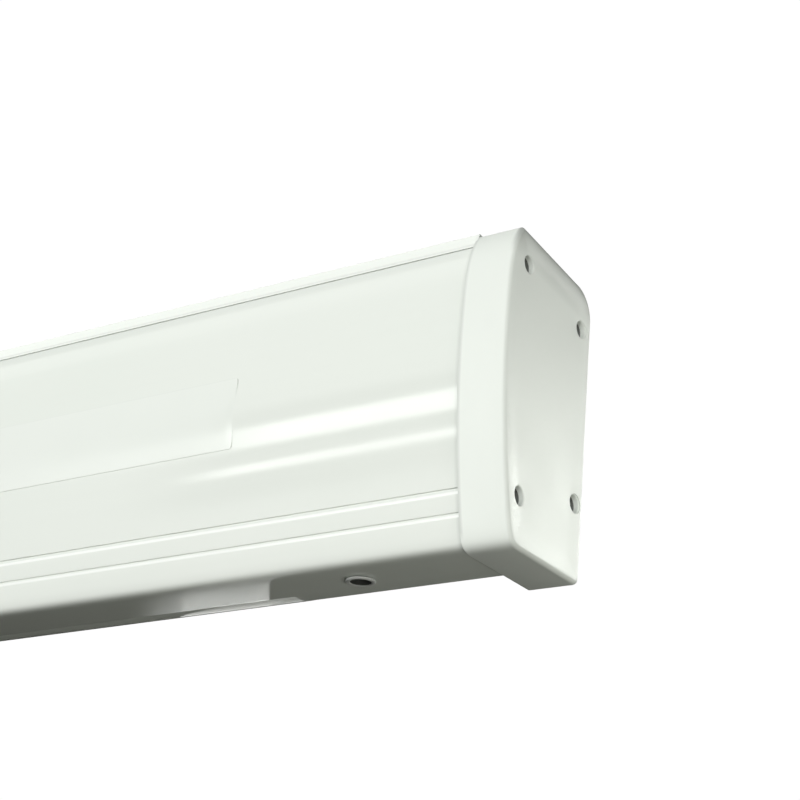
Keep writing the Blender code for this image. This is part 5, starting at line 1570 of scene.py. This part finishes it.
# These reach only the back and the left-hand end.
area("back_box", (-2.5, 6.0, 2.4), (0, 0, 0.02), 3.0, 2.0, 250.0)
area("left_box", (-7.0, 1.0, 1.5), (-0.89, 0, 0), 2.0, 2.0, 20.0)
# A pale ceiling that only the painted profiles mirror, strongly in the strip and faintly under the seam.
for shown, power in (("top_and_back_profile", 46.0), ("front_cover_profile", 14.0)):
    ceiling = area("ceiling_" + shown, (-1.6, -1.5, 3.0), (-1.6, -1.5, 0.0), 3.4, 3.6, power, glossy=True, diffuse=False)
    mirrors = bpy.data.collections.new(ceiling.name + "_lit")
    mirrors.objects.link(bpy.data.objects[shown + "_finished"])
    ceiling.light_linking.receiver_collection = mirrors

# Pale panels behind the right-hand end that its plate mirrors softly.
area("panel_far", (1.609, 2.175, 0.937), (0.893, -0.03, 0), 0.45, 0.45, 9.8, (0.97, 1.0, 0.95), glossy=True, diffuse=False)
area("panel_near", (2.444, 1.693, 0.937), (0.893, -0.03, 0), 0.45, 0.45, 9.5, (0.97, 1.0, 0.95), glossy=True, diffuse=False)

# Two lamp tubes in front of the case and the pale room round them, as the bowed front mirrors them.
lamps = Card("lamp_tubes", -2.5, -9.0, 7.0, -4.0, 8.0)
upper_lamp = lamps.strip(0.804, 0.062, 0.068)
lower_lamp = lamps.strip(0.518, 0.012, 0.050)
upper_run = lamps.maths("ADD", lamps.step(lamps.x, -1.20, -0.92, 0.0, 3.4), lamps.step(lamps.x, -2.0, -1.1, 0.0, 1.9))
lower_run = lamps.step(lamps.x, -1.22, -0.98, 0.0, 5.0)
near_end = lamps.step(lamps.x, -0.1, 0.5, 1.0, 0.0)
glow = lamps.maths("ADD", lamps.maths("MULTIPLY", upper_lamp, upper_run), lamps.maths("MULTIPLY", lower_lamp, lower_run))
glow = lamps.maths("MULTIPLY", glow, near_end)
shade_run = lamps.maths("MULTIPLY", lamps.step(lamps.x, -1.4, -1.0, 0.0, 1.0), near_end)
shade = lamps.maths("MULTIPLY", lamps.strip(0.66, 0.34, 0.16), shade_run)
room = lamps.maths("SUBTRACT", 1.0, lamps.maths("MULTIPLY", shade, 0.95))
lamps.shines(lamps.maths("ADD", room, glow), (0.985, 1.0, 0.975))

# The lit part of the wall that the underside mirrors, and the same for the weight bar.
wall_glow = Card("wall_glow", 0.005, 0.700, 0.800, -0.110, -0.051, only=("front_cover_profile_finished",))
fall = wall_glow.step(wall_glow.z, -0.0625, -0.0535, 1.75, 6.6)
inside = wall_glow.maths("MULTIPLY", wall_glow.step(wall_glow.x, 0.7405, 0.7415, 0.0, 1.0), wall_glow.step(wall_glow.x, 0.7775, 0.7785, 1.0, 0.0))
beside = wall_glow.maths("MULTIPLY", wall_glow.step(wall_glow.x, 0.718, 0.742, 0.0, 0.5), wall_glow.step(wall_glow.x, 0.7405, 0.7415, 1.0, 0.0))
wall_glow.shines(wall_glow.maths("MULTIPLY", fall, wall_glow.maths("ADD", inside, beside)), (0.985, 1.0, 0.97))
bar_glow = Card("bar_glow", 0.005, 0.700, 0.810, -0.110, -0.048, only=("weight_bar_finished", "weight_bar_end_right_finished"))
bar_inside = bar_glow.maths("ADD", bar_glow.step(bar_glow.x, 0.7405, 0.7415, 0.0, 3.2), bar_glow.step(bar_glow.x, 0.7775, 0.7785, 0.0, -1.3))
bar_glow.shines(bar_inside, (0.985, 1.0, 0.97))

# A pale wall behind that only the hanging hardware mirrors.
hardware = [o.name for o in bpy.data.objects if o.name.startswith(("wall_bracket", "bracket_t_bolt", "bracket_washer", "bracket_nut"))]
Card("back_wall", 2.5, -8.0, 8.0, -6.0, 6.0, only=[name for name in hardware if name.endswith("_finished")]).shines(0.6)
